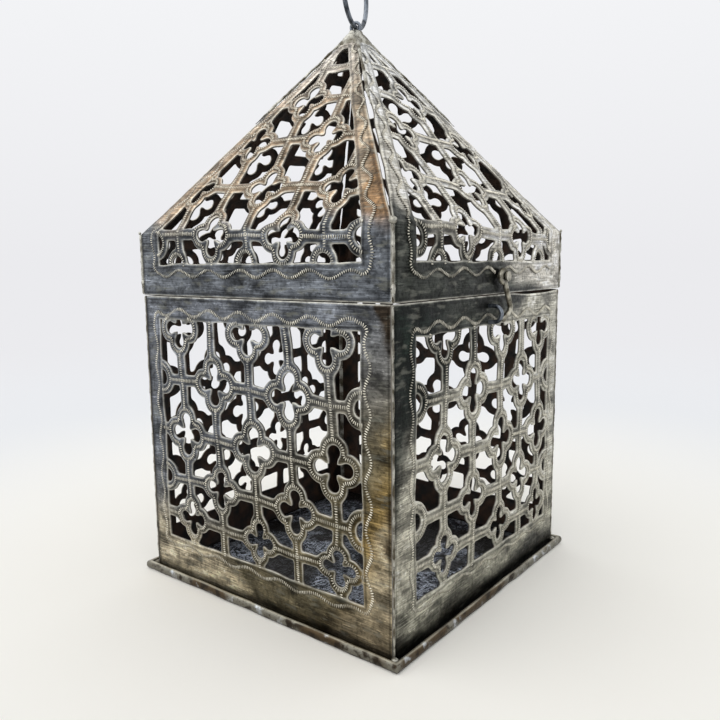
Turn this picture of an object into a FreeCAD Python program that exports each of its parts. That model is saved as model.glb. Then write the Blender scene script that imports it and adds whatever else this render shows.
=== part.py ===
import FreeCAD, Part

# A pierced sheet-metal lantern: a square body standing on a rimmed base tray, and a
# four-sided roof that opens on two pin hinges at the back.  A swing hook closes the
# front and a wire ring hangs the lantern.  Millimetres, +Z up, front towards -Y, and
# the origin is at the centre of the underside, on the resting plane.

import math
import os

import Sketcher
from FreeCAD import Placement, Rotation, Vector

OUT = "parts"
X_AXIS, Y_AXIS, Z_AXIS = Vector(1, 0, 0), Vector(0, 1, 0), Vector(0, 0, 1)
FRONT, RIGHT, BACK, LEFT = 0, 90, 180, 270

DIMENSIONS = (
    ("body_width", 152.0, "outer side of the square body"),
    ("panel_height", 139.4, "body panel above its datum"),
    ("sheet_gauge", 0.8, "thickness of every sheet"),
    ("base_overhang", 4.4, "base tray beyond the body on each side"),
    ("rim_height", 4.2, "rolled rim of the base tray"),
    ("panel_datum", 3.2, "level from which the body panels are measured"),
    ("rim_round", 1.0, "rounding of the base tray's outer edges"),
    ("lid_width", 153.6, "outer side of the lid skirt"),
    ("lid_gap", 0.5, "air between body and lid"),
    ("skirt_height", 29.8, "upright part of a lid sheet"),
    ("roof_rise", 98.9, "eave to the point where the four slopes would meet"),
    ("apex_cut", 9.0, "slope left off each sheet under the apex"),
    ("sheet_inset", 1.05, "lid sheet's edge to the ridge or corner, measured level"),
    ("window_near", 60.4, "middle of a panel to the window's near side"),
    ("window_far", 64.6, "middle of a panel to the window's far side"),
    ("window_low", 17.5, "bottom of a body window above the datum"),
    ("side_window_high", 128.5, "top of a side window above the datum"),
    ("front_window_high", 126.0, "top of a front or back window above the datum"),
    ("lid_window", 62.0, "middle of a lid sheet to its window's side at the eave"),
    ("lid_window_top", 114.0, "slope where the sides of the lid window would meet"),
    ("lid_window_cut", 3.0, "width of the lid window's top"),
    ("lid_sill", 14.8, "eave to the lid window's lower side"),
    ("bar_width", 5.4, "lattice bar"),
    ("edge_ring", 8.8, "half ring where a body row meets the frame"),
    ("lid_edge_ring", 7.8, "half ring at the side of a lid window"),
    ("edge_ring_hole", 3.9, "hole of a half ring"),
    ("arch_ring", 7.2, "half ring that stands on the lid window's sill"),
    ("seam_leg", 1.8, "leg of the solder fillet inside a body corner"),
    ("corner_seam", 0.9, "square solder line on a lid corner"),
    ("ridge_seam", 0.72, "radius of the solder line on a ridge"),
    ("ridge_seam_depth", 0.3, "solder line's centre inside the ridge"),
    ("ridge_seam_start", 11.6, "solder line's upper end from the roof's point"),
    ("ridge_seam_length", 56.0, "length of ridge closed by solder"),
    ("cap_foot", 6.0, "solder cap, foot radius"),
    ("cap_top", 2.4, "solder cap, top radius"),
    ("cap_height", 4.0, "solder cap"),
    ("eye_wire", 0.8, "radius of the apex eye's wire"),
    ("eye_loop", 2.25, "apex eye, loop radius to the wire's centre"),
    ("eye_lift", 0.2, "apex eye's centre above the roof's point"),
    ("eye_shank", 9.0, "apex eye, length of the shank"),
    ("ring_wire", 1.15, "radius of the hanging ring's wire"),
    ("ring_loop", 16.0, "hanging ring, radius to the wire's centre"),
    ("ring_turn", 18.0, "angle of the ring's plane from the front"),
    ("hinge_place", 45.0, "hinge from the lantern's middle"),
    ("hinge_width", 20.0, "hinge leaf"),
    ("leaf_gauge", 0.7, "hinge leaf thickness"),
    ("leaf_reach", 10.5, "hinge leaf from the pin's centre"),
    ("leaf_clear", 2.0, "leaf plate's edge from the pin's centre"),
    ("hinge_offset", 1.9, "pin centre behind the lid skirt"),
    ("knuckle_round", 1.8, "knuckle, outer radius"),
    ("knuckle_span", 9.6, "length of the middle knuckle"),
    ("knuckle_play", 0.2, "gap on each side of the middle knuckle"),
    ("pin_round", 0.9, "hinge pin radius"),
    ("pin_play", 0.05, "gap between a pin and its knuckle"),
    ("pin_head_round", 1.5, "peened head of a hinge pin"),
    ("pin_head", 0.8, "thickness of a pin's head"),
    ("pivot_side", 6.0, "hook pivot to the right of the middle"),
    ("pivot_lift", 8.0, "hook pivot above the skirt's lower edge"),
    ("pivot_round", 0.9, "pivot rivet, shank radius"),
    ("pivot_head_round", 2.3, "pivot rivet, outer head"),
    ("pivot_clinch_round", 1.7, "pivot rivet, inner head"),
    ("pivot_head", 0.7, "thickness of the pivot rivet's heads"),
    ("hook_wire", 1.25, "radius of the hook's wire"),
    ("hook_loop", 2.7, "hook loop, radius to the wire's centre"),
    ("hook_drop", 17.6, "hook pivot to the catch"),
    ("hook_reach", 9.8, "hook's catch from the shank's centre line"),
    ("hook_bend", 2.4, "bend between shank and catch"),
    ("hook_stand_off", 0.9, "gap between the hook and the lid skirt"),
    ("hook_rest", 28.0, "angle at which the hook hangs off its catch"),
    ("staple_side", -2.0, "staple to the right of the middle"),
    ("staple_lift", 1.0, "middle of the staple above the engaged hook"),
    ("staple_pitch", 7.2, "distance between the staple's legs"),
    ("staple_wire", 0.95, "radius of the staple's wire"),
    ("staple_reach", 6.4, "staple's crown in front of the panel"),
    ("staple_tail", 2.0, "staple's legs behind the panel"),
    ("wire_play", 0.05, "gap round a wire that passes through metal"),
)

# The piercing follows a chequered grid: a rosette on every second crossing and plain
# bars on the others.  Columns are measured from a panel's middle; rows from the datum on
# the body, and up the slope from the eave on the lid.  Rows tilt and columns lean, each
# by its own slope, because the pattern was laid out by hand.
SIDE_COLUMNS = (-48.0, -25.0, -1.0, 22.5, 46.0)
SIDE_ROWS = (30.0, 49.0, 72.5, 99.0, 124.0)
FRONT_COLUMNS = (-39.0, -14.5, 12.0, 33.5, 53.5)
FRONT_ROWS = (29.0, 48.5, 71.0, 97.5, 123.5)
BODY_ROSETTES = (11.8, 13.2, 14.5, 14.5, 13.6)
SIDE_ROOF_COLUMNS = (-47.5, -24.5, -2.0, 20.0, 43.5)
FRONT_ROOF_COLUMNS = (-46.0, -24.0, 4.0, 26.0, 48.5)
ROOF_ROWS = (-3.0, 23.0, 51.0, 76.0, 98.0)
ROOF_ROSETTE = 13.2
SIDE_TILT, FRONT_TILT, ROOF_TILT, EAVE_TILT = -0.01, -0.045, -0.07, -0.04
SIDE_LEAN, FRONT_LEAN, ROOF_LEAN = 0.045, 0.0, 0.05
BODY_MIDDLE, ROOF_MIDDLE = 75.0, 25.0
ROOF_EDGE_ROW = -5.0

# Shares of a rosette's half width that draw its outline and its four-lobed opening.
LOBE_SHARE = 0.50
PETAL_REACH = 0.70
PETAL_SHARE = 0.235
PINCH_SHARE = 0.19

doc = FreeCAD.newDocument("pierced_lantern")
sheet = doc.addObject("Spreadsheet::Sheet", "Dimensions")
for line_number, (alias, value, note) in enumerate(DIMENSIONS, start=1):
    sheet.set(f"A{line_number}", note)
    sheet.set(f"B{line_number}", str(value))
    sheet.setAlias(f"B{line_number}", alias)
doc.recompute()


def dim(alias):
    return float(getattr(sheet, alias))


def cell(alias):
    return f"Dimensions.{alias}"


# Heights, half widths and angles that several pieces share.
FLOOR_TOP = dim("sheet_gauge")
DATUM = dim("panel_datum")
BODY_TOP = DATUM + dim("panel_height")
LID_FOOT = BODY_TOP + dim("lid_gap")
EAVE = LID_FOOT + dim("skirt_height")
APEX = EAVE + dim("roof_rise")
BODY_HALF = dim("body_width") / 2
LID_HALF = dim("lid_width") / 2
SLOPE = math.hypot(LID_HALF, dim("roof_rise"))
SLOPE_ANGLE = math.degrees(math.atan2(dim("roof_rise"), LID_HALF))
HINGE_Y = LID_HALF + dim("hinge_offset")
HINGE_Z = (BODY_TOP + LID_FOOT) / 2
PIVOT = Vector(dim("pivot_side"), -LID_HALF, LID_FOOT + dim("pivot_lift"))
STAPLE_Z = PIVOT.z - dim("hook_drop") + dim("staple_lift")
EYE_Z = APEX + dim("eye_lift")

subparts = []


def finish_subpart(item, name):
    """Labels a finished sub-part and puts it on the list of files to write."""
    item.Label = name
    subparts.append(item)
    return item


# ------------------------------------------------------------ sketches and features


def plane(body, role):
    """The body's own origin plane with that role."""
    return next(f for f in body.Origin.OriginFeatures if f.Role == role)


def new_body(name):
    body = doc.addObject("PartDesign::Body", name)
    body.AllowCompound = True
    return body


def new_sketch(body, name):
    sketch = body.newObject("Sketcher::SketchObject", f"{body.Name}_{name}")
    sketch.AttachmentSupport = (plane(body, "XY_Plane"), "")
    sketch.MapMode = "FlatFace"
    return sketch


def polygon(sketch, points, bound=()):
    """Adds a closed outline.  bound lists (corner, axis, cell expression)."""
    first = sketch.GeometryCount
    count = len(points)
    for i, start in enumerate(points):
        line(sketch, start, points[(i + 1) % count])
    for i in range(count):
        corner = Sketcher.Constraint("Coincident", first + i, 2, first + (i + 1) % count, 1)
        sketch.addConstraint(corner)
    for corner, axis, expression in bound:
        value = points[corner][0 if axis == "X" else 1]
        rule = Sketcher.Constraint("Distance" + axis, -1, 1, first + corner, 1, value)
        index = sketch.addConstraint(rule)
        sketch.setExpression(f"Constraints[{index}]", expression)


def line(sketch, start, end):
    sketch.addGeometry(Part.LineSegment(Vector(*start, 0), Vector(*end, 0)), False)


def arc(sketch, centre, radius, start, end):
    """Adds an arc from start to end, in degrees, counter-clockwise."""
    circle = Part.Circle(Vector(*centre, 0), Z_AXIS, radius)
    bow = Part.ArcOfCircle(circle, math.radians(start), math.radians(end))
    sketch.addGeometry(bow, False)


def ring(sketch, centre, radius):
    sketch.addGeometry(Part.Circle(Vector(*centre, 0), Z_AXIS, radius), False)


def pad(body, sketch, name):
    """Pads a sketch by one sheet thickness."""
    feature = body.newObject("PartDesign::Pad", f"{body.Name}_{name}")
    feature.Profile = sketch
    feature.setExpression("Length", cell("sheet_gauge"))
    feature.Refine = True
    doc.recompute()
    return feature


def cut_through(body, sketch, name):
    """Cuts a sketch right through the sheet."""
    before = body.Shape.Volume
    feature = body.newObject("PartDesign::Pocket", f"{body.Name}_{name}")
    feature.Profile = sketch
    feature.SideType = "Symmetric"
    feature.setExpression("Length", f"4 * {cell('sheet_gauge')}")
    doc.recompute()
    if body.Shape.Volume >= before:
        raise RuntimeError(f"{feature.Name} cut nothing")
    return feature


# ------------------------------------------------------------ the pierced lattice


def bar(sketch, start, end):
    """A lattice bar between two points of its centre line."""
    along = Vector(end[0] - start[0], end[1] - start[1], 0).normalize()
    side = Vector(-along.y, along.x, 0) * (dim("bar_width") / 2)
    corners = (
        (start[0] - side.x, start[1] - side.y),
        (end[0] - side.x, end[1] - side.y),
        (end[0] + side.x, end[1] + side.y),
        (start[0] + side.x, start[1] + side.y),
    )
    polygon(sketch, corners)


def turned(centre, x, y, quarter):
    """A point beside a rosette's centre, turned by quarter turns."""
    for _ in range(quarter):
        x, y = -y, x
    return centre[0] + x, centre[1] + y


def rosette(sketch, centre, half_width):
    """The outline of a rosette: four round lobes that meet in notches."""
    radius = LOBE_SHARE * half_width
    away = half_width - radius
    notch = (away + math.sqrt(2 * radius**2 - away**2)) / 2
    swing = math.degrees(math.atan2(notch, notch - away))
    for quarter in range(4):
        turn = 90 * quarter
        arc(sketch, turned(centre, away, 0, quarter), radius, turn - swing, turn + swing)


def opening(sketch, centre, half_width):
    """The four-lobed opening in the middle of a rosette."""
    radius = PETAL_SHARE * half_width
    away = PETAL_REACH * half_width - radius
    pinch = PINCH_SHARE * half_width
    for quarter in range(4):
        turn = 90 * quarter
        before = turned(centre, pinch, -pinch, quarter)
        after = turned(centre, pinch, pinch, quarter)
        line(sketch, before, turned(centre, away, -radius, quarter))
        arc(sketch, turned(centre, away, 0, quarter), radius, turn - 90, turn + 90)
        line(sketch, turned(centre, away, radius, quarter), after)


def crossing(u, level, tilt, lean, middle):
    """Where a leaning column crosses a tilted row."""
    v = level + tilt * u
    return u + lean * (middle - v), v


def grid_points(columns, rows, tilts, lean, middle, odd):
    """The rosette places of a chequered grid, as (row number, centre)."""
    for row, level in enumerate(rows):
        for column, u in enumerate(columns):
            if (row + column) % 2 == odd:
                yield row, crossing(u, level, tilts[row], lean, middle)


def pierced_plate(name, outline, lattice, frame, bound):
    """One flat pierced sheet, its outer face towards +Z and its foot or eave on Y = 0.

    lattice holds the columns as (lower end, upper end), the rows as (level, tilt), the
    rosettes as (centre, half width) and the part rings as (centre, radius).  frame lists
    the polygons between which the solid strips lie, and bound their driven corners.
    """
    body = new_body(name)
    columns, rows, rosettes, rings = lattice
    reach = 2 * dim("panel_height")
    uprights = new_sketch(body, "upright_lines")
    for low_end, high_end in columns:
        bar(uprights, low_end, high_end)
    pad(body, uprights, "uprights")
    levels = new_sketch(body, "level_lines")
    for level, tilt in rows:
        bar(levels, (-reach, level - tilt * reach), (reach, level + tilt * reach))
    pad(body, levels, "levels")
    lobes = new_sketch(body, "rosette_lines")
    openings = new_sketch(body, "opening_lines")
    for centre, half_width in rosettes:
        rosette(lobes, centre, half_width)
        opening(openings, centre, half_width)
    for centre, radius in rings:
        ring(lobes, centre, radius)
        ring(openings, centre, dim("edge_ring_hole"))
    pad(body, lobes, "rosettes")
    cut_through(body, openings, "openings")
    trim = new_sketch(body, "trim_lines")
    far = 2 * reach
    polygon(trim, ((-far, -far), (far, -far), (far, far), (-far, far)))
    polygon(trim, outline)
    cut_through(body, trim, "trim")
    border = new_sketch(body, "frame_lines")
    for points, rules in zip(frame, bound):
        polygon(border, points, rules)
    pad(body, border, "frame")
    return body


def box_outline(left, right, low, high):
    return ((left, low), (right, low), (right, high), (left, high))


def stand(centre_distance, level, angle, side):
    """Places a flat sheet's inner face at a distance from the middle, facing a side."""
    around = Rotation(Z_AXIS, side)
    foot = Vector(0, -centre_distance, level)
    return Placement(around.multVec(foot), around * Rotation(X_AXIS, angle))


def punch(body, centres, radius, name):
    """Round holes through a finished sheet."""
    sketch = new_sketch(body, f"{name}_lines")
    for centre in centres:
        ring(sketch, centre, radius)
    cut_through(body, sketch, name)


def leaning(columns, lean, middle):
    """The two ends of every column's centre line, far beyond the sheet."""
    reach = 2 * dim("panel_height")
    ends = []
    for u in columns:
        ends.append(((u + lean * (middle + reach), -reach), (u + lean * (middle - reach), reach)))
    return ends


def body_panel(name, side, columns, rows, slants, half_width, window):
    """One side of the body.  slants is (tilt, lean); window is (left, right, top alias)."""
    left, right, top_alias = window
    tilt, lean = slants
    tilts = (tilt,) * len(rows)
    foot = FLOOR_TOP - DATUM
    outline = box_outline(-half_width, half_width, foot, dim("panel_height"))
    hole = box_outline(-left, right, dim("window_low"), dim(top_alias))
    places = grid_points(columns, rows, tilts, lean, BODY_MIDDLE, 0)
    rosettes = [(centre, BODY_ROSETTES[row]) for row, centre in places]
    edge_rows = (rows[1], rows[3])
    rings = [
        ((u, level + tilt * u), dim("edge_ring")) for u in (-left, right) for level in edge_rows
    ]
    uprights = leaning(columns, lean, BODY_MIDDLE)
    lattice = (uprights, [(level, tilt) for level in rows[:-1]], rosettes, rings)
    bound = (
        ((2, "Y", cell("panel_height")),),
        ((0, "Y", cell("window_low")), (2, "Y", cell(top_alias))),
    )
    body = pierced_plate(name, outline, lattice, (outline, hole), bound)
    body.Placement = stand(BODY_HALF - dim("sheet_gauge"), DATUM, 90, side)
    return body


def build_body_panels():
    near, far = dim("window_near"), dim("window_far")
    side_half = BODY_HALF - dim("sheet_gauge")
    for name, side in (("front_panel", FRONT), ("back_panel", BACK)):
        window = (near, far, "front_window_high")
        slants = (FRONT_TILT, FRONT_LEAN)
        body = body_panel(name, side, FRONT_COLUMNS, FRONT_ROWS, slants, BODY_HALF, window)
        if side == FRONT:
            legs = [STAPLE_Z - DATUM + s * dim("staple_pitch") / 2 for s in (-1, 1)]
            radius = dim("staple_wire") + dim("wire_play")
            punch(body, [(dim("staple_side"), v) for v in legs], radius, "staple_holes")
        finish_subpart(body, name)
    for name, side in (("left_panel", LEFT), ("right_panel", RIGHT)):
        window = (far, near, "side_window_high")
        slants = (SIDE_TILT, SIDE_LEAN)
        body = body_panel(name, side, SIDE_COLUMNS, SIDE_ROWS, slants, side_half, window)
        finish_subpart(body, name)


def roof_lattice(columns):
    """The piercing of a lid sheet, drawn unfolded with the eave on Y = 0."""
    tilts = (EAVE_TILT,) + (ROOF_TILT,) * (len(ROOF_ROWS) - 1)
    half, top = dim("lid_window"), dim("lid_window_top")
    rosettes = []
    for row, centre in grid_points(columns, ROOF_ROWS[:-1], tilts, ROOF_LEAN, ROOF_MIDDLE, 1):
        inside = abs(centre[0]) < half * (1 - ROOF_ROWS[row] / top)
        if inside or row == 1:
            rosettes.append((centre, ROOF_ROSETTE))
    rings = [((s * half, ROOF_EDGE_ROW), dim("lid_edge_ring")) for s in (-1, 1)]
    for u in columns[::2]:
        rings.append(((u, -dim("lid_sill")), dim("arch_ring")))
    return leaning(columns, ROOF_LEAN, ROOF_MIDDLE), list(zip(ROOF_ROWS, tilts)), rosettes, rings


def slope_plate(name, columns):
    """The sloping part of a lid sheet: a cut-off triangle, its window open at the eave."""
    inset = dim("sheet_inset")
    top = SLOPE - dim("apex_cut")
    foot_half = LID_HALF - inset
    top_half = LID_HALF * dim("apex_cut") / SLOPE - inset
    hole_half, hole_top = dim("lid_window"), dim("lid_window_top")
    cut_half = dim("lid_window_cut") / 2
    cut_level = hole_top * (1 - cut_half / hole_half)
    outline = ((-foot_half, 0), (foot_half, 0), (top_half, top), (-top_half, top))
    strips = (
        (-foot_half, 0), (-hole_half, 0), (-cut_half, cut_level), (cut_half, cut_level),
        (hole_half, 0), (foot_half, 0), (top_half, top), (-top_half, top),
    )
    rules = ((4, "X", cell("lid_window")),)
    return pierced_plate(name, outline, roof_lattice(columns), (strips,), (rules,))


def skirt_plate(name, columns):
    """The upright part of a lid sheet, its window open at the eave."""
    half = LID_HALF - dim("sheet_inset")
    low, sill, hole = -dim("skirt_height"), -dim("lid_sill"), dim("lid_window")
    outline = box_outline(-half, half, low, 0)
    strips = (
        (-half, low), (half, low), (half, 0), (hole, 0),
        (hole, sill), (-hole, sill), (-hole, 0), (-half, 0),
    )
    rules = ((3, "X", cell("lid_window")), (1, "Y", f"-{cell('skirt_height')}"))
    return pierced_plate(name, outline, roof_lattice(columns), (strips,), (rules,))


def build_lid_sheets():
    """Each lid sheet is a slope and a skirt in one piece, folded at the eave."""
    gauge = dim("sheet_gauge")
    lean = math.radians(SLOPE_ANGLE)
    sides = (
        ("lid_front", FRONT, FRONT_ROOF_COLUMNS), ("lid_back", BACK, FRONT_ROOF_COLUMNS),
        ("lid_left", LEFT, SIDE_ROOF_COLUMNS), ("lid_right", RIGHT, SIDE_ROOF_COLUMNS),
    )
    for name, side, columns in sides:
        slope = slope_plate(f"{name}_slope", columns)
        inward = LID_HALF - gauge * math.sin(lean)
        slope.Placement = stand(inward, EAVE - gauge * math.cos(lean), SLOPE_ANGLE, side)
        skirt = skirt_plate(f"{name}_skirt", columns)
        skirt.Placement = stand(LID_HALF - gauge, EAVE, 90, side)
        if side == FRONT:
            centre = (PIVOT.x, PIVOT.z - EAVE)
            punch(skirt, [centre], dim("pivot_round") + dim("wire_play"), "pivot_hole")
        finish_subpart(fuse(name, (slope, skirt)), name)


# ------------------------------------------------------------ simple solids


def fuse(name, pieces):
    item = doc.addObject("Part::MultiFuse", name)
    item.Shapes = list(pieces)
    item.Refine = True
    doc.recompute()
    return item


def cut(name, base, tool):
    item = doc.addObject("Part::Cut", name)
    item.Base = base
    item.Tool = tool
    doc.recompute()
    return item


def solid(kind, name, sizes, position=Vector(), rotation=Rotation()):
    """A Part primitive.  sizes maps each property to a cell expression."""
    item = doc.addObject(f"Part::{kind}", name)
    for key, expression in sizes.items():
        item.setExpression(key, expression)
    item.Placement = Placement(position, rotation)
    return item


def rod(name, radius, length, position, direction):
    """A round rod that starts at a point and runs along a direction."""
    sizes = {"Radius": radius, "Height": length}
    return solid("Cylinder", name, sizes, position, Rotation(Z_AXIS, direction))


def hoop(name, loop, wire, position, axis):
    """A closed wire ring round an axis."""
    sizes = {"Radius1": loop, "Radius2": wire}
    return solid("Torus", name, sizes, position, Rotation(Z_AXIS, axis))


def block(name, length, width, height, position):
    sizes = {"Length": length, "Width": width, "Height": height}
    return solid("Box", name, sizes, position)


# ------------------------------------------------------------ base tray and seams


def build_base_tray():
    """A floor sheet whose four edges are rolled up into a rim round the body."""
    side = f"{cell('body_width')} + 2 * {cell('base_overhang')}"
    half = BODY_HALF + dim("base_overhang")
    slab = block("base_slab", side, side, cell("rim_height"), Vector(-half, -half, 0))
    doc.recompute()
    rounded = doc.addObject("Part::Fillet", "base_slab_round")
    rounded.Base = slab
    radius = dim("rim_round")
    rounded.Edges = [(i + 1, radius, radius) for i in range(len(slab.Shape.Edges))]
    well = block(
        "base_well", cell("body_width"), cell("body_width"), cell("rim_height"),
        Vector(-BODY_HALF, -BODY_HALF, FLOOR_TOP),
    )
    finish_subpart(cut("base_tray", rounded, well), "base_tray")


CORNERS = (
    ("front_left", -1, -1), ("front_right", 1, -1), ("back_right", 1, 1), ("back_left", -1, 1),
)


def build_body_seams():
    """Solder fillets that join the panels inside each upright corner."""
    inner = BODY_HALF - dim("sheet_gauge")
    leg = dim("seam_leg")
    for corner, x, y in CORNERS:
        prism = doc.addObject("Part::Feature", f"body_seam_{corner}")
        points = ((0, 0), (-x * leg, 0), (0, -y * leg), (0, 0))
        face = Part.Face(Part.makePolygon([Vector(*p, 0) for p in points]))
        height = BODY_TOP - FLOOR_TOP
        prism.Shape = face.extrude(Vector(0, 0, height))
        prism.Placement = Placement(Vector(x * inner, y * inner, FLOOR_TOP), Rotation())
        finish_subpart(prism, prism.Name)


def build_lid_seams():
    """Solder lines up the lid's corners and along the upper part of its ridges."""
    width = dim("corner_seam")
    near = LID_HALF - dim("sheet_inset")
    ridge = Vector(LID_HALF, LID_HALF, -dim("roof_rise")).normalize()
    for corner, x, y in CORNERS:
        low = Vector(x * near, y * near, LID_FOOT)
        if x < 0:
            low.x -= width
        if y < 0:
            low.y -= width
        post = block(
            f"lid_seam_{corner}", cell("corner_seam"), cell("corner_seam"),
            cell("skirt_height"), low,
        )
        finish_subpart(post, post.Name)
        down = Vector(x * ridge.x, y * ridge.y, ridge.z)
        inward = Vector(x * ridge.z, y * ridge.z, 0)
        inward.z = -(inward.x * down.x + inward.y * down.y) / down.z
        start = Vector(0, 0, APEX) + down * dim("ridge_seam_start")
        start += inward.normalize() * dim("ridge_seam_depth")
        line_name = f"ridge_seam_{corner}"
        seam = rod(line_name, cell("ridge_seam"), cell("ridge_seam_length"), start, down)
        finish_subpart(seam, line_name)


# ------------------------------------------------------------ top eye and hanging ring


def build_top():
    foot = APEX - dim("apex_cut") * math.sin(math.radians(SLOPE_ANGLE))
    cone = solid(
        "Cone", "apex_cone",
        {"Radius1": cell("cap_foot"), "Radius2": cell("cap_top"), "Height": cell("cap_height")},
        Vector(0, 0, foot),
    )
    loop_foot = EYE_Z - dim("eye_loop")
    well = rod(
        "apex_bore", f"{cell('eye_wire')} + {cell('wire_play')}", f"2 * {cell('eye_shank')}",
        Vector(0, 0, EYE_Z), Z_AXIS * -1,
    )
    finish_subpart(cut("apex_cap", cone, well), "apex_cap")
    turn = Rotation(Z_AXIS, dim("ring_turn"))
    along, across = turn.multVec(X_AXIS), turn.multVec(Y_AXIS)
    loop = hoop("eye_hoop", cell("eye_loop"), cell("eye_wire"), Vector(0, 0, EYE_Z), along)
    shank = rod(
        "eye_stem", cell("eye_wire"), cell("eye_shank"), Vector(0, 0, loop_foot), Z_AXIS * -1
    )
    finish_subpart(fuse("apex_eye", (loop, shank)), "apex_eye")
    centre = Vector(0, 0, EYE_Z + dim("ring_loop"))
    carrier = hoop("hanging_ring", cell("ring_loop"), cell("ring_wire"), centre, across)
    finish_subpart(carrier, "hanging_ring")


# ------------------------------------------------------------ hinges


def knuckle(name, start, end, x):
    """A hinge knuckle between two distances along the pin, from the hinge's middle."""
    length = f"{end - start} mm"
    return rod(name, cell("knuckle_round"), length, Vector(x + start, HINGE_Y, HINGE_Z), X_AXIS)


def leaf(name, x, up, face_y, spans):
    """One hinge leaf: a plate on a sheet's outer face and its knuckles on the pin."""
    reach, clear = dim("leaf_reach"), dim("leaf_clear")
    width = dim("hinge_width")
    low = HINGE_Z + clear if up else HINGE_Z - reach
    tall = f"{cell('leaf_reach')} - {cell('leaf_clear')}"
    plate = block(
        f"{name}_plate", cell("hinge_width"), cell("leaf_gauge"), tall,
        Vector(x - width / 2, face_y, low),
    )
    pieces = [plate]
    tongue_low = HINGE_Z if up else HINGE_Z - clear
    tongue_depth = HINGE_Y - face_y - (dim("leaf_gauge") if up else 0)
    for number, (start, end) in enumerate(spans):
        pieces.append(knuckle(f"{name}_knuckle_{number}", start, end, x))
        tongue = block(
            f"{name}_tongue_{number}", f"{end - start} mm", f"{tongue_depth} mm",
            cell("leaf_clear"), Vector(x + start, face_y, tongue_low),
        )
        pieces.append(tongue)
    bore = rod(
        f"{name}_bore", f"{cell('pin_round')} + {cell('pin_play')}",
        f"2 * {cell('hinge_width')}", Vector(x - width, HINGE_Y, HINGE_Z), X_AXIS,
    )
    finish_subpart(cut(name, fuse(f"{name}_metal", pieces), bore), name)


def build_hinges():
    middle = dim("knuckle_span") / 2
    side_start = middle + dim("knuckle_play")
    half = dim("hinge_width") / 2
    for tag, sign in (("left", -1), ("right", 1)):
        x = sign * dim("hinge_place")
        spans = ((-half, -side_start), (side_start, half))
        leaf(f"hinge_body_leaf_{tag}", x, False, BODY_HALF, spans)
        leaf(f"hinge_lid_leaf_{tag}", x, True, LID_HALF, ((-middle, middle),))
        start = Vector(x - half - dim("knuckle_play"), HINGE_Y, HINGE_Z)
        length = f"{cell('hinge_width')} + 2 * {cell('knuckle_play')}"
        shaft = rod(f"pin_shaft_{tag}", cell("pin_round"), length, start, X_AXIS)
        heads = []
        for end, way in ((-1, X_AXIS * -1), (1, X_AXIS)):
            place = Vector(x + end * (half + dim("knuckle_play")), HINGE_Y, HINGE_Z)
            head = f"pin_head_{tag}_{'a' if end < 0 else 'b'}"
            heads.append(rod(head, cell("pin_head_round"), cell("pin_head"), place, way))
        finish_subpart(fuse(f"hinge_pin_{tag}", [shaft] + heads), f"hinge_pin_{tag}")


# ------------------------------------------------------------ hook and staple


def build_hook_pivot():
    """The rivet that carries the hook, clinched inside the lid skirt."""
    outward = Y_AXIS * -1
    gauge = dim("sheet_gauge")
    gap = f"2 * {cell('hook_stand_off')} + 2 * {cell('hook_wire')}"
    inner = PIVOT + Y_AXIS * gauge
    shank_length = f"{cell('sheet_gauge')} + {gap}"
    shank = rod("pivot_shank", cell("pivot_round"), shank_length, inner, outward)
    clinch = rod(
        "pivot_clinch", cell("pivot_clinch_round"), cell("pivot_head"), inner, Y_AXIS
    )
    stand_out = 2 * dim("hook_stand_off") + 2 * dim("hook_wire")
    head = rod(
        "pivot_outer", cell("pivot_head_round"), cell("pivot_head"),
        PIVOT + outward * stand_out, outward,
    )
    finish_subpart(fuse("hook_rivet", (shank, clinch, head)), "hook_rivet")


def build_hook():
    """A wire hook: a loop round the rivet, a shank, a bend and a short catch."""
    drop, bend, reach = dim("hook_drop"), dim("hook_bend"), dim("hook_reach")
    wire = cell("hook_wire")
    down = Z_AXIS * -1
    loop = hoop("hook_hoop", cell("hook_loop"), wire, Vector(), Y_AXIS)
    shank = rod(
        "hook_shank", wire, f"{cell('hook_drop')} - {cell('hook_loop')} - {cell('hook_bend')}",
        down * dim("hook_loop"), down,
    )
    elbow = solid(
        "Torus", "hook_elbow",
        {"Radius1": cell("hook_bend"), "Radius2": wire, "Angle3": "90 deg"},
        Vector(-bend, 0, bend - drop), Rotation(X_AXIS, -90),
    )
    catch = rod(
        "hook_tine", wire, f"{cell('hook_reach')} - {cell('hook_bend')} - {wire}",
        Vector(-bend, 0, -drop), X_AXIS * -1,
    )
    tip = solid("Sphere", "hook_tip", {"Radius": wire}, Vector(dim("hook_wire") - reach, 0, -drop))
    item = fuse("latch_hook", (loop, shank, elbow, catch, tip))
    out = dim("hook_stand_off") + dim("hook_wire")
    turn = Rotation(Y_AXIS, -dim("hook_rest"))
    item.Placement = Placement(PIVOT - Y_AXIS * out, turn)
    finish_subpart(item, "latch_hook")


def build_staple():
    """A wire staple through the front panel, its legs one above the other."""
    pitch, reach = dim("staple_pitch"), dim("staple_reach")
    wire = cell("staple_wire")
    half = pitch / 2
    crown_y = -(BODY_HALF + reach)
    legs = []
    for tag, side in (("low", -1), ("high", 1)):
        start = Vector(dim("staple_side"), crown_y + half, STAPLE_Z + side * half)
        length = (
            f"{cell('staple_reach')} + {cell('sheet_gauge')} + {cell('staple_tail')}"
            f" - {cell('staple_pitch')} / 2"
        )
        legs.append(rod(f"staple_leg_{tag}", wire, length, start, Y_AXIS))
    crown = solid(
        "Torus", "staple_crown",
        {"Radius1": f"{cell('staple_pitch')} / 2", "Radius2": wire, "Angle3": "180 deg"},
        Vector(dim("staple_side"), crown_y + half, STAPLE_Z),
        Rotation(Y_AXIS, 90) * Rotation(Z_AXIS, 180),
    )
    finish_subpart(fuse("latch_staple", legs + [crown]), "latch_staple")


# ------------------------------------------------------------ build, check and write


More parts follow.
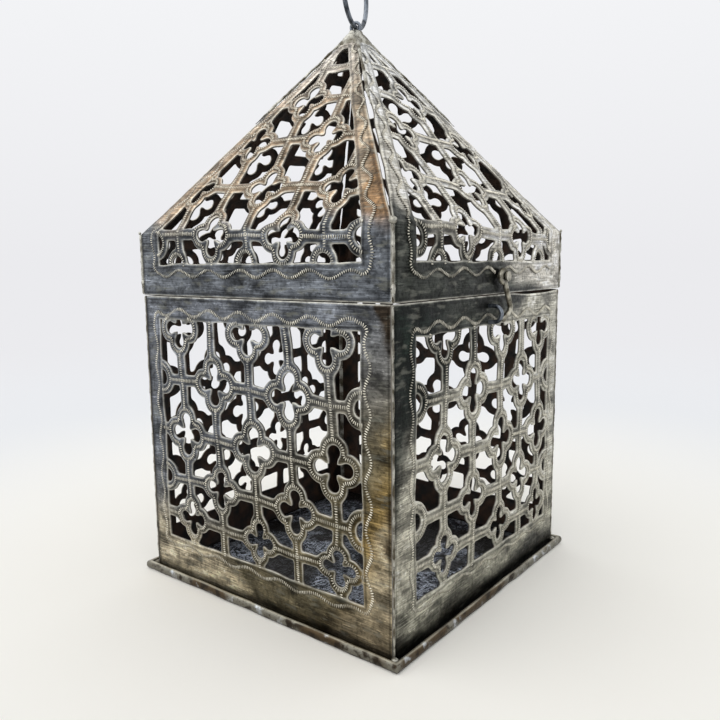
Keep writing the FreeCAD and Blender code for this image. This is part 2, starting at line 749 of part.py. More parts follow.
def write_all():
    doc.recompute()
    for item in doc.Objects:
        if any(flag in ("Invalid", "Error") for flag in item.State):
            raise RuntimeError(f"{item.Name} did not recompute")
    os.makedirs(OUT, exist_ok=True)
    for item in subparts:
        shape = item.Shape
        if shape.isNull() or not shape.isValid():
            raise RuntimeError(f"{item.Label} is not a sound shape")
        print(item.Label, "solids", len(shape.Solids), "volume", round(shape.Volume, 1))
        shape.exportStep(f"{OUT}/{item.Label}.step")


build_base_tray()
build_body_panels()
build_body_seams()
build_lid_sheets()
build_lid_seams()
build_top()
build_hinges()
build_hook_pivot()
build_hook()
build_staple()
write_all()
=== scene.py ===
import math

import bpy
import numpy as np
from mathutils import Matrix, Vector, noise


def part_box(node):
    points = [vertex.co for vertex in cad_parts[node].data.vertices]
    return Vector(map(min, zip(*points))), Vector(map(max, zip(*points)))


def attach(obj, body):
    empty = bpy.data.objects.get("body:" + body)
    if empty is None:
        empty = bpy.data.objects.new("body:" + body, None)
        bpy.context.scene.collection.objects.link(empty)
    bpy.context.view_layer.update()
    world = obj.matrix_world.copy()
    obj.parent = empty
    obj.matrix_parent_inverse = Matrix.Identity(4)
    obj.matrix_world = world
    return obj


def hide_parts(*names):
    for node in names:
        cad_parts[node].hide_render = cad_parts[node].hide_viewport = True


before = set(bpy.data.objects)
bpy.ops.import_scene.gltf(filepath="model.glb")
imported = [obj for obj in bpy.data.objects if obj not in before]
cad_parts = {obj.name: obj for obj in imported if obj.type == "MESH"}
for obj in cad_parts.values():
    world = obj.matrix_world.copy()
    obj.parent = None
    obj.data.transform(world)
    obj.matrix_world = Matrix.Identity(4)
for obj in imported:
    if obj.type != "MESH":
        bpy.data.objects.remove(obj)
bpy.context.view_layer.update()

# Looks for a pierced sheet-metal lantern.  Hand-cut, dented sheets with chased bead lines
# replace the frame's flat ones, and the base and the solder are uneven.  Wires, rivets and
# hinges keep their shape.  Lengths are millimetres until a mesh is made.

MM = 0.001
FRONT, RIGHT, BACK, LEFT = 0, 90, 180, 270

# ---- sizes, from the frame


def node_box(node):
    low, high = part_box(node)
    return low / MM, high / MM


front_low, front_high = node_box("front_panel")
lid_low, lid_high = node_box("lid_front")
tray_high = node_box("base_tray")[1]
GAUGE = 0.8
BODY_HALF = front_high.x
SIDE_HALF = BODY_HALF - GAUGE
TRAY_HALF = tray_high.x
RIM_TOP = tray_high.z
FLOOR_TOP = front_low.z
BODY_TOP = front_high.z
# The height from which body sheets are drawn.
DATUM = 3.2
PANEL = BODY_TOP - DATUM
LID_HALF = -lid_low.y
SHEET_HALF = lid_high.x
LID_FOOT = lid_low.z
SKIRT = 29.8
EAVE = LID_FOOT + SKIRT
ROOF_RISE = 98.9
APEX = EAVE + ROOF_RISE
SLOPE = math.hypot(LID_HALF, ROOF_RISE)
SLOPE_ANGLE = math.atan2(ROOF_RISE, LID_HALF)
FOLD = math.pi / 2 - SLOPE_ANGLE
FOLD_RADIUS = 2

# ---- the piercing

# Bars: columns from a sheet's middle, rows from its datum or, on the lid, from its fold.
SIDE_COLUMNS = (-48, -25, -1, 22.5, 46)
SIDE_ROWS = (30, 49, 72.5, 99, 124)
FRONT_COLUMNS = (-39, -14.5, 12, 33.5, 53.5)
FRONT_ROWS = (29, 48.5, 71, 97.5, 123.5)
SIDE_ROOF_COLUMNS = (-47.5, -24.5, -2, 20, 43.5)
FRONT_ROOF_COLUMNS = (-46, -24, 4, 26, 48.5)
ROOF_ROWS = (-3, 23, 51, 76, 98)
BAR_WIDTH = 5.4
# Rows rise to the right by a tilt.  Columns lean about a middle height.
SIDE_TILT, FRONT_TILT, ROOF_TILT, EAVE_TILT = -0.01, -0.045, -0.07, -0.04
SIDE_LEAN, FRONT_LEAN, ROOF_LEAN = 0.045, 0, 0.05
BODY_MIDDLE, ROOF_MIDDLE = 75, 25

# Half widths of the rosettes in each row, and radii of the rings at windows.
BODY_ROSETTES = (11.8, 13.2, 14.5, 14.5, 13.6)
ROOF_ROSETTE = 13.2
EDGE_RING, LID_EDGE_RING, ARCH_RING, RING_HOLE = 8.8, 7.8, 7.2, 3.9
ROOF_EDGE_ROW = -5
# The cross cut in a rosette, as shares of its half width.
PETAL_REACH, PETAL_SHARE, STEM_SHARE = 0.7, 0.22, 0.15

# Windows: sides towards and away from the near corner, sills and tops.
WINDOW_NEAR, WINDOW_FAR, WINDOW_LOW = 60.4, 64.6, 17.5
SIDE_WINDOW_HIGH, FRONT_WINDOW_HIGH = 128.5, 126
LID_WINDOW, LID_WINDOW_TOP, LID_WINDOW_CUT, LID_SILL = 62, 114, 1.5, 14.8
APEX_CUT = 9

# Rounding at cut edges, depth of dents, and the chased border's step and distance from
# the window.
WORKED = {"body": (0.35, 0.22, 0.11, 3.4), "lid": (0.7, 0.34, 0.506, 4.3)}
EDGE_ROUND, BORDER_STEP, HELD = 0.9, 0.7, 6
# The border's waves along each side of the window, and how far they swing.
BODY_BORDER = ((6, 6, 6, 6), (1.1, 1.5, 1.7, 1))
LID_BORDER = ((6, 1, 7, 0, 7, 1), (1.6, 0.9, 1.7, 0, 1.7, 0.9))

# Unevenness, as amplitudes and wavelengths.
CUT_WANDER = ((0.45, 34), (0.1, 9))
WINDOW_WANDER = ((0.25, 22),)
DENTS = ((1, 48), (0.35, 14))
# Rounding where bars cross, where bars meet motifs, and at holes and window edges.
BAR_BLEND, MOTIF_BLEND, HOLE_BLEND = 1.2, 1.6, 1

# Shear marks: a dip in the front panel's top edge, and slopes cut a little narrow, more
# so beside the open slit at the near ridge.
TOP_DIPS = {"front_panel": 1.1}
DIP_PLACE, DIP_WIDTH = 50, 22
RIDGE_TRIM, RIDGE_SWAY, RIDGE_WAVE = 0.55, 0.5, 26
TRIM_START, TRIM_END, TRIM_FADE = 4, 20, 10
SLIT_SIDES = {"lid_front": -1, "lid_left": 1}
SLIT = 0.3

GRID = 0.6
NEAREST_CUT, ON_EDGE, FAR = 0.06, 1e-6, 1e9

# Beads: inset from the metal's edge, how near an edge they come, pitch and sizes.
BEAD_INSET, BEAD_CLEAR, BEAD_PITCH = 2.2, 0.6, 1.06
OUTLINE_CLEAR = 1.3
BEAD_LENGTH, LENGTH_SPREAD = 2.1, (0.82, 1.12)
BEAD_WIDTH, WIDTH_SPREAD = 0.66, (0.88, 1.1)
BEAD_HEIGHT, HEIGHT_SPREAD = 0.58, (0.8, 1.15)
BEAD_LEAN = 0.1
# Scale and height of a bead's foot and shoulder.
BEAD_RINGS, BEAD_SIDES = ((1, -0.25), (0.72, 0.62)), 8
# Places on a sheet that stay free of beads, and how far round them.
FITTINGS = {
    "lid_front": (((6, -21.8), 4.6),),
    "front_panel": (((-2, 127.4), 2.4), ((-2, 134.6), 2.4)),
}
# Materials read places on a sheet in this many millimetres.
PLACE_UNIT = 100


def ripple(u, v, seed, length):
    """Smooth repeatable noise, about -1 to 1, with the given wavelength."""
    rng = np.random.default_rng(seed)
    total = 0
    waves = 6
    for _ in range(waves):
        angle, phase = rng.uniform(0, 2 * math.pi, 2)
        rate = 2 * math.pi / (length * rng.uniform(0.7, 1.5))
        total = total + np.sin(rate * (u * math.cos(angle) + v * math.sin(angle)) + phase)
    return total / math.sqrt(waves)


def uneven(u, v, seed, waves):
    """Ripples added up, each with its own amplitude and wavelength."""
    return sum(size * ripple(u, v, seed + k, length) for k, (size, length) in enumerate(waves))


def smooth_union(a, b, blend):
    share = np.clip(0.5 + 0.5 * (b - a) / blend, 0, 1)
    return b * (1 - share) + a * share - blend * share * (1 - share)


def convex_distance(u, v, corners):
    """Signed distance to a convex outline, the nearest side and the place along it."""
    starts = np.array(corners) @ (1, 1j)
    sides = np.roll(starts, -1) - starts
    local = (np.asarray(u + 1j * v)[..., None] - starts) / sides
    along = np.clip(local.real, 0, 1)
    gaps = np.abs(local - along) * np.abs(sides)
    side = gaps.argmin(-1)[..., None]
    gap, along = (np.take_along_axis(values, side, -1)[..., 0] for values in (gaps, along))
    inside = (local.imag >= 0).all(-1)
    return np.where(inside, -gap, gap), side[..., 0], along


def rectangle(left, right, low, high):
    return ((left, low), (right, low), (right, high), (left, high))


def on_arm(u, v):
    """A place from a rosette's middle, as distances along and beside its nearest arm."""
    x, y = np.abs(u), np.abs(v)
    return np.maximum(x, y), np.minimum(x, y)


def lobe_distance(far, near, half):
    return np.hypot(far - half / 2, near) - half / 2


class Sheet:
    """One pierced sheet, described unfolded: u to the right, v up, seen from outside."""

    def __init__(self, node, body, side, seed):
        self.node, self.body, self.side, self.seed = node, body, side, seed
        self.rosettes, self.rings = [], []
        self.crown, self.dent, self.step, self.border = WORKED[body]
        self.dip = TOP_DIPS.get(node, 0)
        self.slit_side = SLIT_SIDES.get(node, 0)

    def leaning(self, u, v):
        """The column place at height v of the column drawn at u."""
        return u + self.lean * (self.middle - v)

    def grid_points(self, rows, tilts, odd):
        """Every second crossing of the bars."""
        for row, level in enumerate(rows):
            for column, u in enumerate(self.columns):
                if (row + column) % 2 == odd:
                    v = level + tilts[row] * u
                    yield row, self.leaning(u, v), v

    def cut(self, u, v):
        """Where a point of the drawn pattern lands once cut by hand."""
        return (u + uneven(u, v, self.seed + 1, CUT_WANDER),
            v + uneven(u, v, self.seed + 3, CUT_WANDER))

    def window_distance(self, u, v):
        return convex_distance(u, v, self.window)[0]

    def bar_distance(self, u, v):
        bars = np.full(np.shape(u), FAR)
        for column in self.columns:
            bars = np.minimum(bars, np.abs(u - self.leaning(column, v)) - BAR_WIDTH / 2)
        for level, tilt in self.levels:
            row = np.abs(v - level - tilt * u) - BAR_WIDTH / 2
            bars = smooth_union(bars, row, BAR_BLEND)
        return bars

    def motif_distances(self, u, v):
        """Signed distances to the rosettes and rings, and to the holes in them."""
        motifs = holes = np.full(np.shape(u), FAR)
        for cu, cv, half in self.rosettes:
            far, near = on_arm(u - cu, v - cv)
            motifs = np.minimum(motifs, lobe_distance(far, near, half))
            reach = (PETAL_REACH - PETAL_SHARE) * half
            petal = np.hypot(far - reach, near) - PETAL_SHARE * half
            stem = np.maximum(near - STEM_SHARE * half, far - reach)
            holes = np.minimum(holes, smooth_union(petal, stem, HOLE_BLEND))
        for cu, cv, radius in self.rings:
            gap = np.hypot(u - cu, v - cv)
            motifs = np.minimum(motifs, gap - radius)
            holes = np.minimum(holes, gap - RING_HOLE)
        return motifs, holes

    def metal_distance(self, u, v):
        """Signed distances to the metal's edge and to the outline, negative inside."""
        drawn = self.cut(u, v)
        motifs, holes = self.motif_distances(*drawn)
        lattice = smooth_union(self.bar_distance(*drawn), motifs, MOTIF_BLEND)
        window = self.window_distance(u + uneven(u, v, self.seed + 5, WINDOW_WANDER),
            v + uneven(u, v, self.seed + 6, WINDOW_WANDER))
        pierced = np.maximum(np.maximum(lattice, -holes), window)
        metal = smooth_union(pierced, -window, HOLE_BLEND)
        outline = convex_distance(u, v, self.outline)[0]
        return np.maximum(metal, outline + self.trim(u, v)), outline

    def trim(self, u, v):
        """How much less than the drawn outline was left by the shears."""
        if self.body == "body":
            dip = self.dip * np.exp(-((u - DIP_PLACE) / DIP_WIDTH) ** 4)
            return np.where(v > PANEL - HELD / 2, dip, 0)
        fade = np.clip((v - TRIM_START) / TRIM_FADE, 0, 1)
        fade = fade * np.clip((SLOPE - TRIM_END - v) / TRIM_FADE, 0, 1)
        sway = RIDGE_SWAY * ripple(u * 0, v + 2 * u, self.seed + 12, RIDGE_WAVE)
        return fade * (RIDGE_TRIM + sway + SLIT * (u * self.slit_side > 0))

    def border_gap(self, u, v):
        """Distance inside the wavy chased border."""
        gap, side, along = convex_distance(u, v, self.window)
        waves, swing = np.array(self.waves)[side], np.array(self.swings)[side]
        return self.border + swing * np.sin(2 * math.pi * waves * along) - gap

    def relief(self, u, v):
        """Height of the outer face over the flat sheet."""
        metal, outline = self.metal_distance(u, v)
        rounded = self.crown * np.exp(-np.maximum(-metal, 0) / EDGE_ROUND)
        held = 1 - np.exp(-np.maximum(-outline, 0) / HELD)
        dents = self.dent * uneven(u, v, self.seed + 7, DENTS)
        chased = self.step * np.tanh(self.border_gap(u, v) / BORDER_STEP)
        return held * (dents + chased) - rounded

    def place(self, u, v, height):
        """Points in the frame's axes, and the outward normals there."""
        if self.body == "lid":
            out, up, normal_out, normal_up = folded(v)
        else:
            out, up = np.full(np.shape(v), BODY_HALF), DATUM + v
            normal_out, normal_up = np.ones(np.shape(v)), np.zeros(np.shape(v))
        out = out + height * normal_out
        up = up + height * normal_up
        cosine, sine = math.cos(math.radians(self.side)), math.sin(math.radians(self.side))
        points = np.stack((u * cosine + out * sine, u * sine - out * cosine, up), -1)
        normals = np.stack((normal_out * sine, -normal_out * cosine, normal_up), -1)
        return points, normals


def folded(v):
    """A lid sheet's outer face: distance out, height and normal, rounded at the fold."""
    lap = FOLD_RADIUS * math.tan(FOLD / 2)
    angle = FOLD * np.clip((v + lap) / (2 * lap), 0, 1)
    beyond = np.maximum(v - lap, 0)
    below = np.minimum(v + lap, 0)
    out = LID_HALF - FOLD_RADIUS * (1 - np.cos(angle)) - beyond * math.cos(SLOPE_ANGLE)
    up = EAVE - lap + below + FOLD_RADIUS * np.sin(angle) + beyond * math.sin(SLOPE_ANGLE)
    return out, up, np.cos(angle), np.sin(angle)


def body_sheet(node, side, seed, columns, rows, slants, half, window):
    sheet = Sheet(node, "body", side, seed)
    left, right, high = window
    tilt, sheet.lean = slants
    sheet.columns, sheet.middle = columns, BODY_MIDDLE
    sheet.levels = [(level, tilt) for level in rows[:-1]]
    sheet.outline = rectangle(-half, half, FLOOR_TOP - DATUM, PANEL)
    sheet.window = rectangle(-left, right, WINDOW_LOW, high)
    for row, u, v in sheet.grid_points(rows, (tilt,) * len(rows), 0):
        sheet.rosettes.append((u, v, BODY_ROSETTES[row]))
    for u in (-left, right):
        for level in (rows[1], rows[3]):
            sheet.rings.append((u, level + tilt * u, EDGE_RING))
    sheet.waves, sheet.swings = BODY_BORDER
    return sheet


def lid_outline(half, foot, narrow, level):
    return ((-half, foot), (half, foot), (half, 0), (narrow, level), (-narrow, level), (-half, 0))


def lid_sheet(node, side, seed, columns):
    sheet = Sheet(node, "lid", side, seed)
    sheet.columns, sheet.middle, sheet.lean = columns, ROOF_MIDDLE, ROOF_LEAN
    tilts = (EAVE_TILT,) + (ROOF_TILT,) * (len(ROOF_ROWS) - 1)
    sheet.levels = list(zip(ROOF_ROWS, tilts))
    top_half = LID_HALF * APEX_CUT / SLOPE - (LID_HALF - SHEET_HALF)
    cut_level = LID_WINDOW_TOP * (1 - LID_WINDOW_CUT / LID_WINDOW)
    sheet.outline = lid_outline(SHEET_HALF, -SKIRT, top_half, SLOPE - APEX_CUT)
    sheet.window = lid_outline(LID_WINDOW, -LID_SILL, LID_WINDOW_CUT, cut_level)
    for row, u, v in sheet.grid_points(ROOF_ROWS[:-1], tilts, 1):
        inside = abs(u) < LID_WINDOW * (1 - ROOF_ROWS[row] / LID_WINDOW_TOP)
        if inside or row == 1:
            sheet.rosettes.append((u, v, ROOF_ROSETTE))
    for u in (-LID_WINDOW, LID_WINDOW):
        sheet.rings.append((u, ROOF_EDGE_ROW, LID_EDGE_RING))
    for u in columns[::2]:
        sheet.rings.append((u, -LID_SILL, ARCH_RING))
    sheet.waves, sheet.swings = LID_BORDER
    return sheet


def all_sheets():
    """The eight pierced sheets of the body and the lid, each with its finish."""
    near, far = WINDOW_NEAR, WINDOW_FAR
    front = (FRONT_COLUMNS, FRONT_ROWS, (FRONT_TILT, FRONT_LEAN), BODY_HALF,
        (near, far, FRONT_WINDOW_HIGH))
    side = (SIDE_COLUMNS, SIDE_ROWS, (SIDE_TILT, SIDE_LEAN), SIDE_HALF,
        (far, near, SIDE_WINDOW_HIGH))
    return (
        (body_sheet("front_panel", FRONT, 10, *front), FRONT_BODY),
        (body_sheet("back_panel", BACK, 30, *front), PLAIN_BODY),
        (body_sheet("left_panel", LEFT, 50, *side), LEFT_BODY),
        (body_sheet("right_panel", RIGHT, 70, *side), PLAIN_BODY),
        (lid_sheet("lid_front", FRONT, 110, FRONT_ROOF_COLUMNS), FRONT_LID),
        (lid_sheet("lid_back", BACK, 130, FRONT_ROOF_COLUMNS), PLAIN_LID),
        (lid_sheet("lid_left", LEFT, 150, SIDE_ROOF_COLUMNS), LEFT_LID),
        (lid_sheet("lid_right", RIGHT, 170, SIDE_ROOF_COLUMNS), PLAIN_LID),
    )


# ---- meshes

SHEET_CREASE, BEAD_CREASE, SOLDER_CREASE, RIM_CREASE = 0.75, 1.2, 1.3, 0.9


def new_object(name, data):
    item = bpy.data.objects.new(name, data)
    bpy.context.scene.collection.objects.link(item)
    return item


def make_piece(name, points, faces, body, material, crease=SHEET_CREASE):
    """A mesh object from points in millimetres, riding on a body."""
    mesh = bpy.data.meshes.new(name)
    mesh.from_pydata((np.asarray(points) * MM).tolist(), [], faces)
    mesh.polygons.foreach_set("use_smooth", np.ones(len(mesh.polygons), bool))
    mesh.set_sharp_from_angle(angle=crease)
    mesh.materials.append(material)
    mesh.update()
    piece = new_object(name, mesh)
    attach(piece, body)
    return piece


def store(piece, name, values):
    """Values for the materials to read, one per point."""
    kind, key = ("FLOAT_VECTOR", "vector") if np.ndim(values) == 2 else ("FLOAT", "value")
    attribute = piece.data.attributes.new(name, kind, "POINT")
    attribute.data.foreach_set(key, np.asarray(values, np.float32).ravel())


def store_place(piece, u, v):
    store(piece, "sheet_uv", np.stack((u, v, np.zeros(len(u))), -1) / PLACE_UNIT)


def crossings(distance, axis, first):
    """Ids and places of the points where the edge crosses the grid along one axis."""
    count = distance.shape[axis]
    before, after = distance.take(range(count - 1), axis), distance.take(range(1, count), axis)
    crossed = (before <= ON_EDGE) != (after <= ON_EDGE)
    ids = np.full(crossed.shape, -1)
    ids[crossed] = first + np.arange(crossed.sum())
    share = before[crossed] / (before - after)[crossed]
    return ids, np.argwhere(crossed), np.clip(share, NEAREST_CUT, 1 - NEAREST_CUT)


def cut_grid(us, vs, distance):
    """Flat faces of the metal: grid points inside, clipped where the edge crosses."""
    inside = distance <= ON_EDGE
    ids = np.full(inside.shape, -1)
    count = int(inside.sum())
    ids[inside] = np.arange(count)
    at = np.argwhere(inside)
    flat = [np.stack((us[at[:, 0]], vs[at[:, 1]]), -1)]
    found = []
    for axis, step in enumerate((us[1] - us[0], vs[1] - vs[0])):
        crossed, where, share = crossings(distance, axis, count)
        points = np.stack((us[where[:, 0]], vs[where[:, 1]]), -1)
        points[:, axis] += share * step
        flat.append(points)
        found.append(crossed)
        count += len(where)
    across, upward = found
    corners = inside[:-1, :-1].astype(int) + inside[1:, :-1] + inside[1:, 1:] + inside[:-1, 1:]
    i, j = np.nonzero(corners == 4)
    faces = np.stack((ids[i, j], ids[i + 1, j], ids[i + 1, j + 1], ids[i, j + 1]), -1).tolist()
    for i, j in np.argwhere((corners > 0) & (corners < 4)):
        ring = ((i, j), (i + 1, j), (i + 1, j + 1), (i, j + 1))
        between = (across[i, j], upward[i + 1, j], across[i, j + 1], upward[i, j])
        points = [k for corner, crossing in zip(ring, between) for k in (ids[corner], crossing)]
        faces.append([int(k) for k in points if k >= 0])
    return np.concatenate(flat), faces


def rim_edges(faces):
    """Edges that only one face uses, in that face's direction."""
    edges = [edge for face in faces for edge in zip(face, face[1:] + face[:1])]
    used = set(edges)
    return [(a, b) for a, b in edges if (b, a) not in used]


def thickened(faces, count):
    """The faces, the same faces on a second set of count points, and the walls between."""
    back = [[count + k for k in reversed(face)] for face in faces]
    walls = [[b, a, count + a, count + b] for a, b in rim_edges(faces)]
    return faces + back + walls


def sheet_piece(sheet, material):
    """The pierced sheet itself, front, back and cut edges."""
    low, high = np.min(sheet.outline, 0), np.max(sheet.outline, 0)
    us, vs = (np.linspace(low[axis], high[axis], round((high[axis] - low[axis]) / GRID) + 1)
        for axis in (0, 1))
    grid_u, grid_v = np.meshgrid(us, vs, indexing="ij")
    flat, faces = cut_grid(us, vs, sheet.metal_distance(grid_u, grid_v)[0])
    u, v = flat.T
    outer, normals = sheet.place(u, v, sheet.relief(u, v))
    count = len(outer)
    piece = make_piece(f"{sheet.node}_sheet", np.concatenate((outer, outer - normals * GAUGE)),
        thickened(faces, count), sheet.body, material)
    depth = np.maximum(-sheet.metal_distance(u, v)[0], 0)
    store(piece, "edge_mm", np.tile(depth, 2))
    store_place(piece, np.tile(u, 2), np.tile(v, 2))
    store(piece, "outside", np.repeat((1, 0), count))
    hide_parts(sheet.node)


# ---- chased beads


# Bead lines are drawn as complex numbers, u + v i.


def uv(at):
    return at.real, at.imag


def spaced(line):
    """Evenly spaced points along a polyline, with unit directions."""
    length = np.concatenate(([0], np.cumsum(np.abs(np.diff(line)))))
    count = max(2, int(length[-1] / BEAD_PITCH))
    places = (np.arange(count) + 0.5) * length[-1] / count
    ahead = np.interp(places + 0.2, length, line) - np.interp(places - 0.2, length, line)
    return np.interp(places, length, line), ahead / np.maximum(np.abs(ahead), 1e-9)


def arc(centre, radius, start, end, count=24):
    return centre + radius * np.exp(1j * np.radians(np.linspace(start, end, count)))


def rosette_path(u, v, half):
    """The bead line of a rosette, kept one inset inside its outline."""
    centre, lobe = complex(u, v), half / 2
    path = []
    for quarter in range(4):
        turn, reach = 90 * quarter, lobe * 1j ** quarter
        path.append(arc(centre + reach, lobe - BEAD_INSET, turn - 90, turn + 90))
        path.append(arc(centre + reach * (1 + 1j), BEAD_INSET, turn + 270, turn + 180, 8))
    return np.concatenate(path + [path[0][:1]])


def border_path(sheet):
    """The wavy line round a window, as a closed polyline."""
    path = []
    corners = np.array(sheet.window) @ (1, 1j)
    sides = np.roll(corners, -1) - corners
    for k, (start, side) in enumerate(zip(corners, sides)):
        t = np.linspace(0, 1, max(8, int(abs(side))))
        reach = sheet.border + sheet.swings[k] * np.sin(2 * math.pi * sheet.waves[k] * t)
        path.append(start + t * side - 1j * side / abs(side) * reach)
        before, after = np.degrees(np.angle(-1j * np.roll(sides, -k)[:2]))
        sweep = (after - before) % 360
        path.append(arc(start + side, sheet.border, before, before + sweep, 8))
    return np.concatenate(path + [path[0][:1]])


def clear_of_motifs(sheet, at):
    """Which points of a bar lie outside the bead lines of rosettes and rings."""
    u, v = uv(at)
    overlap = BEAD_CLEAR - BEAD_INSET
    clear = np.ones(len(at), bool)
    for cu, cv, half in sheet.rosettes:
        far, near = on_arm(u - cu, v - cv)
        clear &= (lobe_distance(far, near, half) > overlap) & (np.hypot(far, near) > half / 2)
    for cu, cv, radius in sheet.rings:
        clear &= np.hypot(u - cu, v - cv) > radius + overlap
    return clear


def lattice_beads(sheet):
    """Beads on bars, rosettes and rings, as drawn places and directions."""
    left, low = np.min(sheet.window, 0) - 6
    right, high = np.max(sheet.window, 0) + 6
    bars = [np.array([complex(sheet.leaning(column, v), v) for v in (low, high)])
        for column in sheet.columns]
    bars += [np.array([complex(u, level + tilt * u) for u in (left, right)])
        for level, tilt in sheet.levels]
    motifs = [rosette_path(*rosette) for rosette in sheet.rosettes]
    motifs += [arc(complex(u, v), radius - BEAD_INSET, 0, 360, 48) for u, v, radius in sheet.rings]
    places, ways = [], []
    for number, line in enumerate(bars + motifs):
        at, ahead = spaced(line)
        keep = sheet.window_distance(*uv(at)) < BEAD_CLEAR
        if number < len(bars):
            keep &= clear_of_motifs(sheet, at)
        places.append(at[keep])
        ways.append(ahead[keep])
    return np.concatenate(places), np.concatenate(ways)


def bead_places(sheet):
    """Every bead of a sheet, as places and directions on the cut sheet."""
    drawn, ahead = lattice_beads(sheet)
    at = drawn
    for _ in range(2):
        u, v = sheet.cut(*uv(at))
        at = at + drawn - (u + 1j * v)
    border, border_ahead = spaced(border_path(sheet))
    keep = convex_distance(*uv(border), sheet.outline)[0] < -OUTLINE_CLEAR
    at = np.concatenate((at, border[keep]))
    ahead = np.concatenate((ahead, border_ahead[keep]))
    clear = np.ones(len(at), bool)
    for fitting, reach in FITTINGS.get(sheet.node, ()):
        clear &= np.abs(at - complex(*fitting)) > reach
    return at[clear], ahead[clear]


def turns(count):
    return 2 * np.pi * np.arange(count) / count


def ring_faces(rows, size, first=0):
    """Faces between rings of size points that follow each other."""
    faces = []
    for row in range(rows - 1):
        low, high = first + row * size, first + (row + 1) * size
        for k in range(size):
            n = (k + 1) % size
            faces.append([low + k, low + n, high + n, high + k])
    return faces


def closed_faces(rows, size):
    """Faces of a closed tube: rings, and a cap at both ends."""
    last = (rows - 1) * size
    return ring_faces(rows, size) + [list(range(size))[::-1], list(range(last, last + size))]


def bead_template():
    """A low dome: a ring at the foot, one at the shoulder and a crown point."""
    rings = []
    for scale, height in BEAD_RINGS:
        x, y = uv(scale / 2 * np.exp(1j * turns(BEAD_SIDES)))
        rings.append(np.stack((x, y, np.full(BEAD_SIDES, height)), -1))
    points = np.concatenate(rings + [np.array([[0, 0, 1]])])
    crown = len(points) - 1
    faces = ring_faces(2, BEAD_SIDES)
    for k in range(BEAD_SIDES):
        faces.append([BEAD_SIDES + k, BEAD_SIDES + (k + 1) % BEAD_SIDES, crown])
    faces.append(list(range(BEAD_SIDES - 1, -1, -1)))
    return points, faces


def bead_piece(sheet, material):
    """All chased beads of one sheet in one mesh."""
    at, ahead = bead_places(sheet)
    rng = np.random.default_rng(sheet.seed)
    count = len(at)
    shape, template = bead_template()
    size = len(shape)
    wide = BEAD_WIDTH * rng.uniform(*WIDTH_SPREAD, count)
    long = BEAD_LENGTH * rng.uniform(*LENGTH_SPREAD, count)
    worn = np.clip(0.72 + 0.3 * ripple(*uv(at), sheet.seed + 9, 30), 0.35, 1.1)
    tall = BEAD_HEIGHT * rng.uniform(*HEIGHT_SPREAD, count) * worn
    way = ahead * np.exp(1j * rng.normal(0, BEAD_LEAN, count))
    local = shape[:, 0] * wide[:, None] + 1j * shape[:, 1] * long[:, None]
    corners = at[:, None] + local * way[:, None]
    height = sheet.relief(*uv(at))[:, None] + shape[:, 2] * tall[:, None]
    points = sheet.place(*uv(corners.ravel()), height.ravel())[0]
    faces = [[k + size * n for k in face] for n in range(count) for face in template]
    piece = make_piece(f"{sheet.node}_beads", points, faces, sheet.body,
        material, BEAD_CREASE)
    store(piece, "crest", np.tile(np.clip(shape[:, 2], 0, 1), count))
    store_place(piece, *uv(np.repeat(at, size)))


# ---- solder, base and top

CORNERS = (
    ("front_left", -1, -1), ("front_right", 1, -1), ("back_right", 1, 1), ("back_left", -1, 1))
TUBE_SIDES = 10
DROP_RINGS, DROP_SIDES = 8, 12
BODY_SOLDER, LID_SOLDER, RIDGE_SOLDER, NEAR_RIDGE_SOLDER = 0.42, 0.62, 0.55, 0.8
# Ridge solder starts this far down from the point, sits this deep and fades out slowly.
RIDGE_START, RIDGE_LENGTH, RIDGE_SINK, RIDGE_FADE = 9, 58.6, 0.4, 18
EAVE_DROP_PLACE, EAVE_DROP, NEAR_EAVE_DROP = 146.2, 0.7, 1.5
FOOT_DROP, SKIRT_DROP = (1.6, 1.6, 1.2), (1, 1, 2.2)
SOLDER_STEP, SOLDER_SWELL = 0.7, ((0.16, 6), (0.1, 2.2))
SOLDER_WANDER, SOLDER_LUMPS = 0.16, 0.1


def tube(path, radii):
    """Points and faces of a closed tube along a path, with radii for each of its points."""
    path = np.asarray(path, float)
    ahead = np.gradient(path, axis=0)
    ahead /= np.linalg.norm(ahead, axis=1)[:, None]
    helper = np.array((0.31, 0.17, 0.05)) + np.array((0, 0, 1)) * (abs(ahead[0][2]) < 0.9)
    side = np.cross(ahead, helper)
    side /= np.linalg.norm(side, axis=1)[:, None]
    other = np.cross(ahead, side)
    angles = turns(TUBE_SIDES)[:, None]
    ring = side[:, None] * np.cos(angles) + other[:, None] * np.sin(angles)
    points = (path[:, None] + ring * np.asarray(radii)[..., None]).reshape(-1, 3)
    return points, closed_faces(len(path), TUBE_SIDES)


def solder_line(name, start, end, radius, body, material, seed, fade=1):
    """A hand-run solder line: a tube whose thickness and place wander."""
    length = np.linalg.norm(end - start)
    t = np.linspace(0, 1, int(length / SOLDER_STEP))
    far = t * length
    level = far * 0
    wander = [SOLDER_WANDER * radius * ripple(far, level, seed + k, 9) for k in range(3)]
    swell = 1 + uneven(far, level, seed + 4, SOLDER_SWELL)
    lumps = SOLDER_LUMPS * ripple(far[:, None], 3 * np.cos(turns(TUBE_SIDES)), seed + 6, 4)
    ends = np.clip(np.minimum(far, (length - far) / fade) / (1.2 * radius) + 0.25, 0, 1)
    radii = radius * (swell[:, None] + lumps) * ends[:, None]
    points, faces = tube(start + t[:, None] * (end - start) + np.stack(wander, -1), radii)
    return make_piece(name, points, faces, body, material, SOLDER_CREASE)


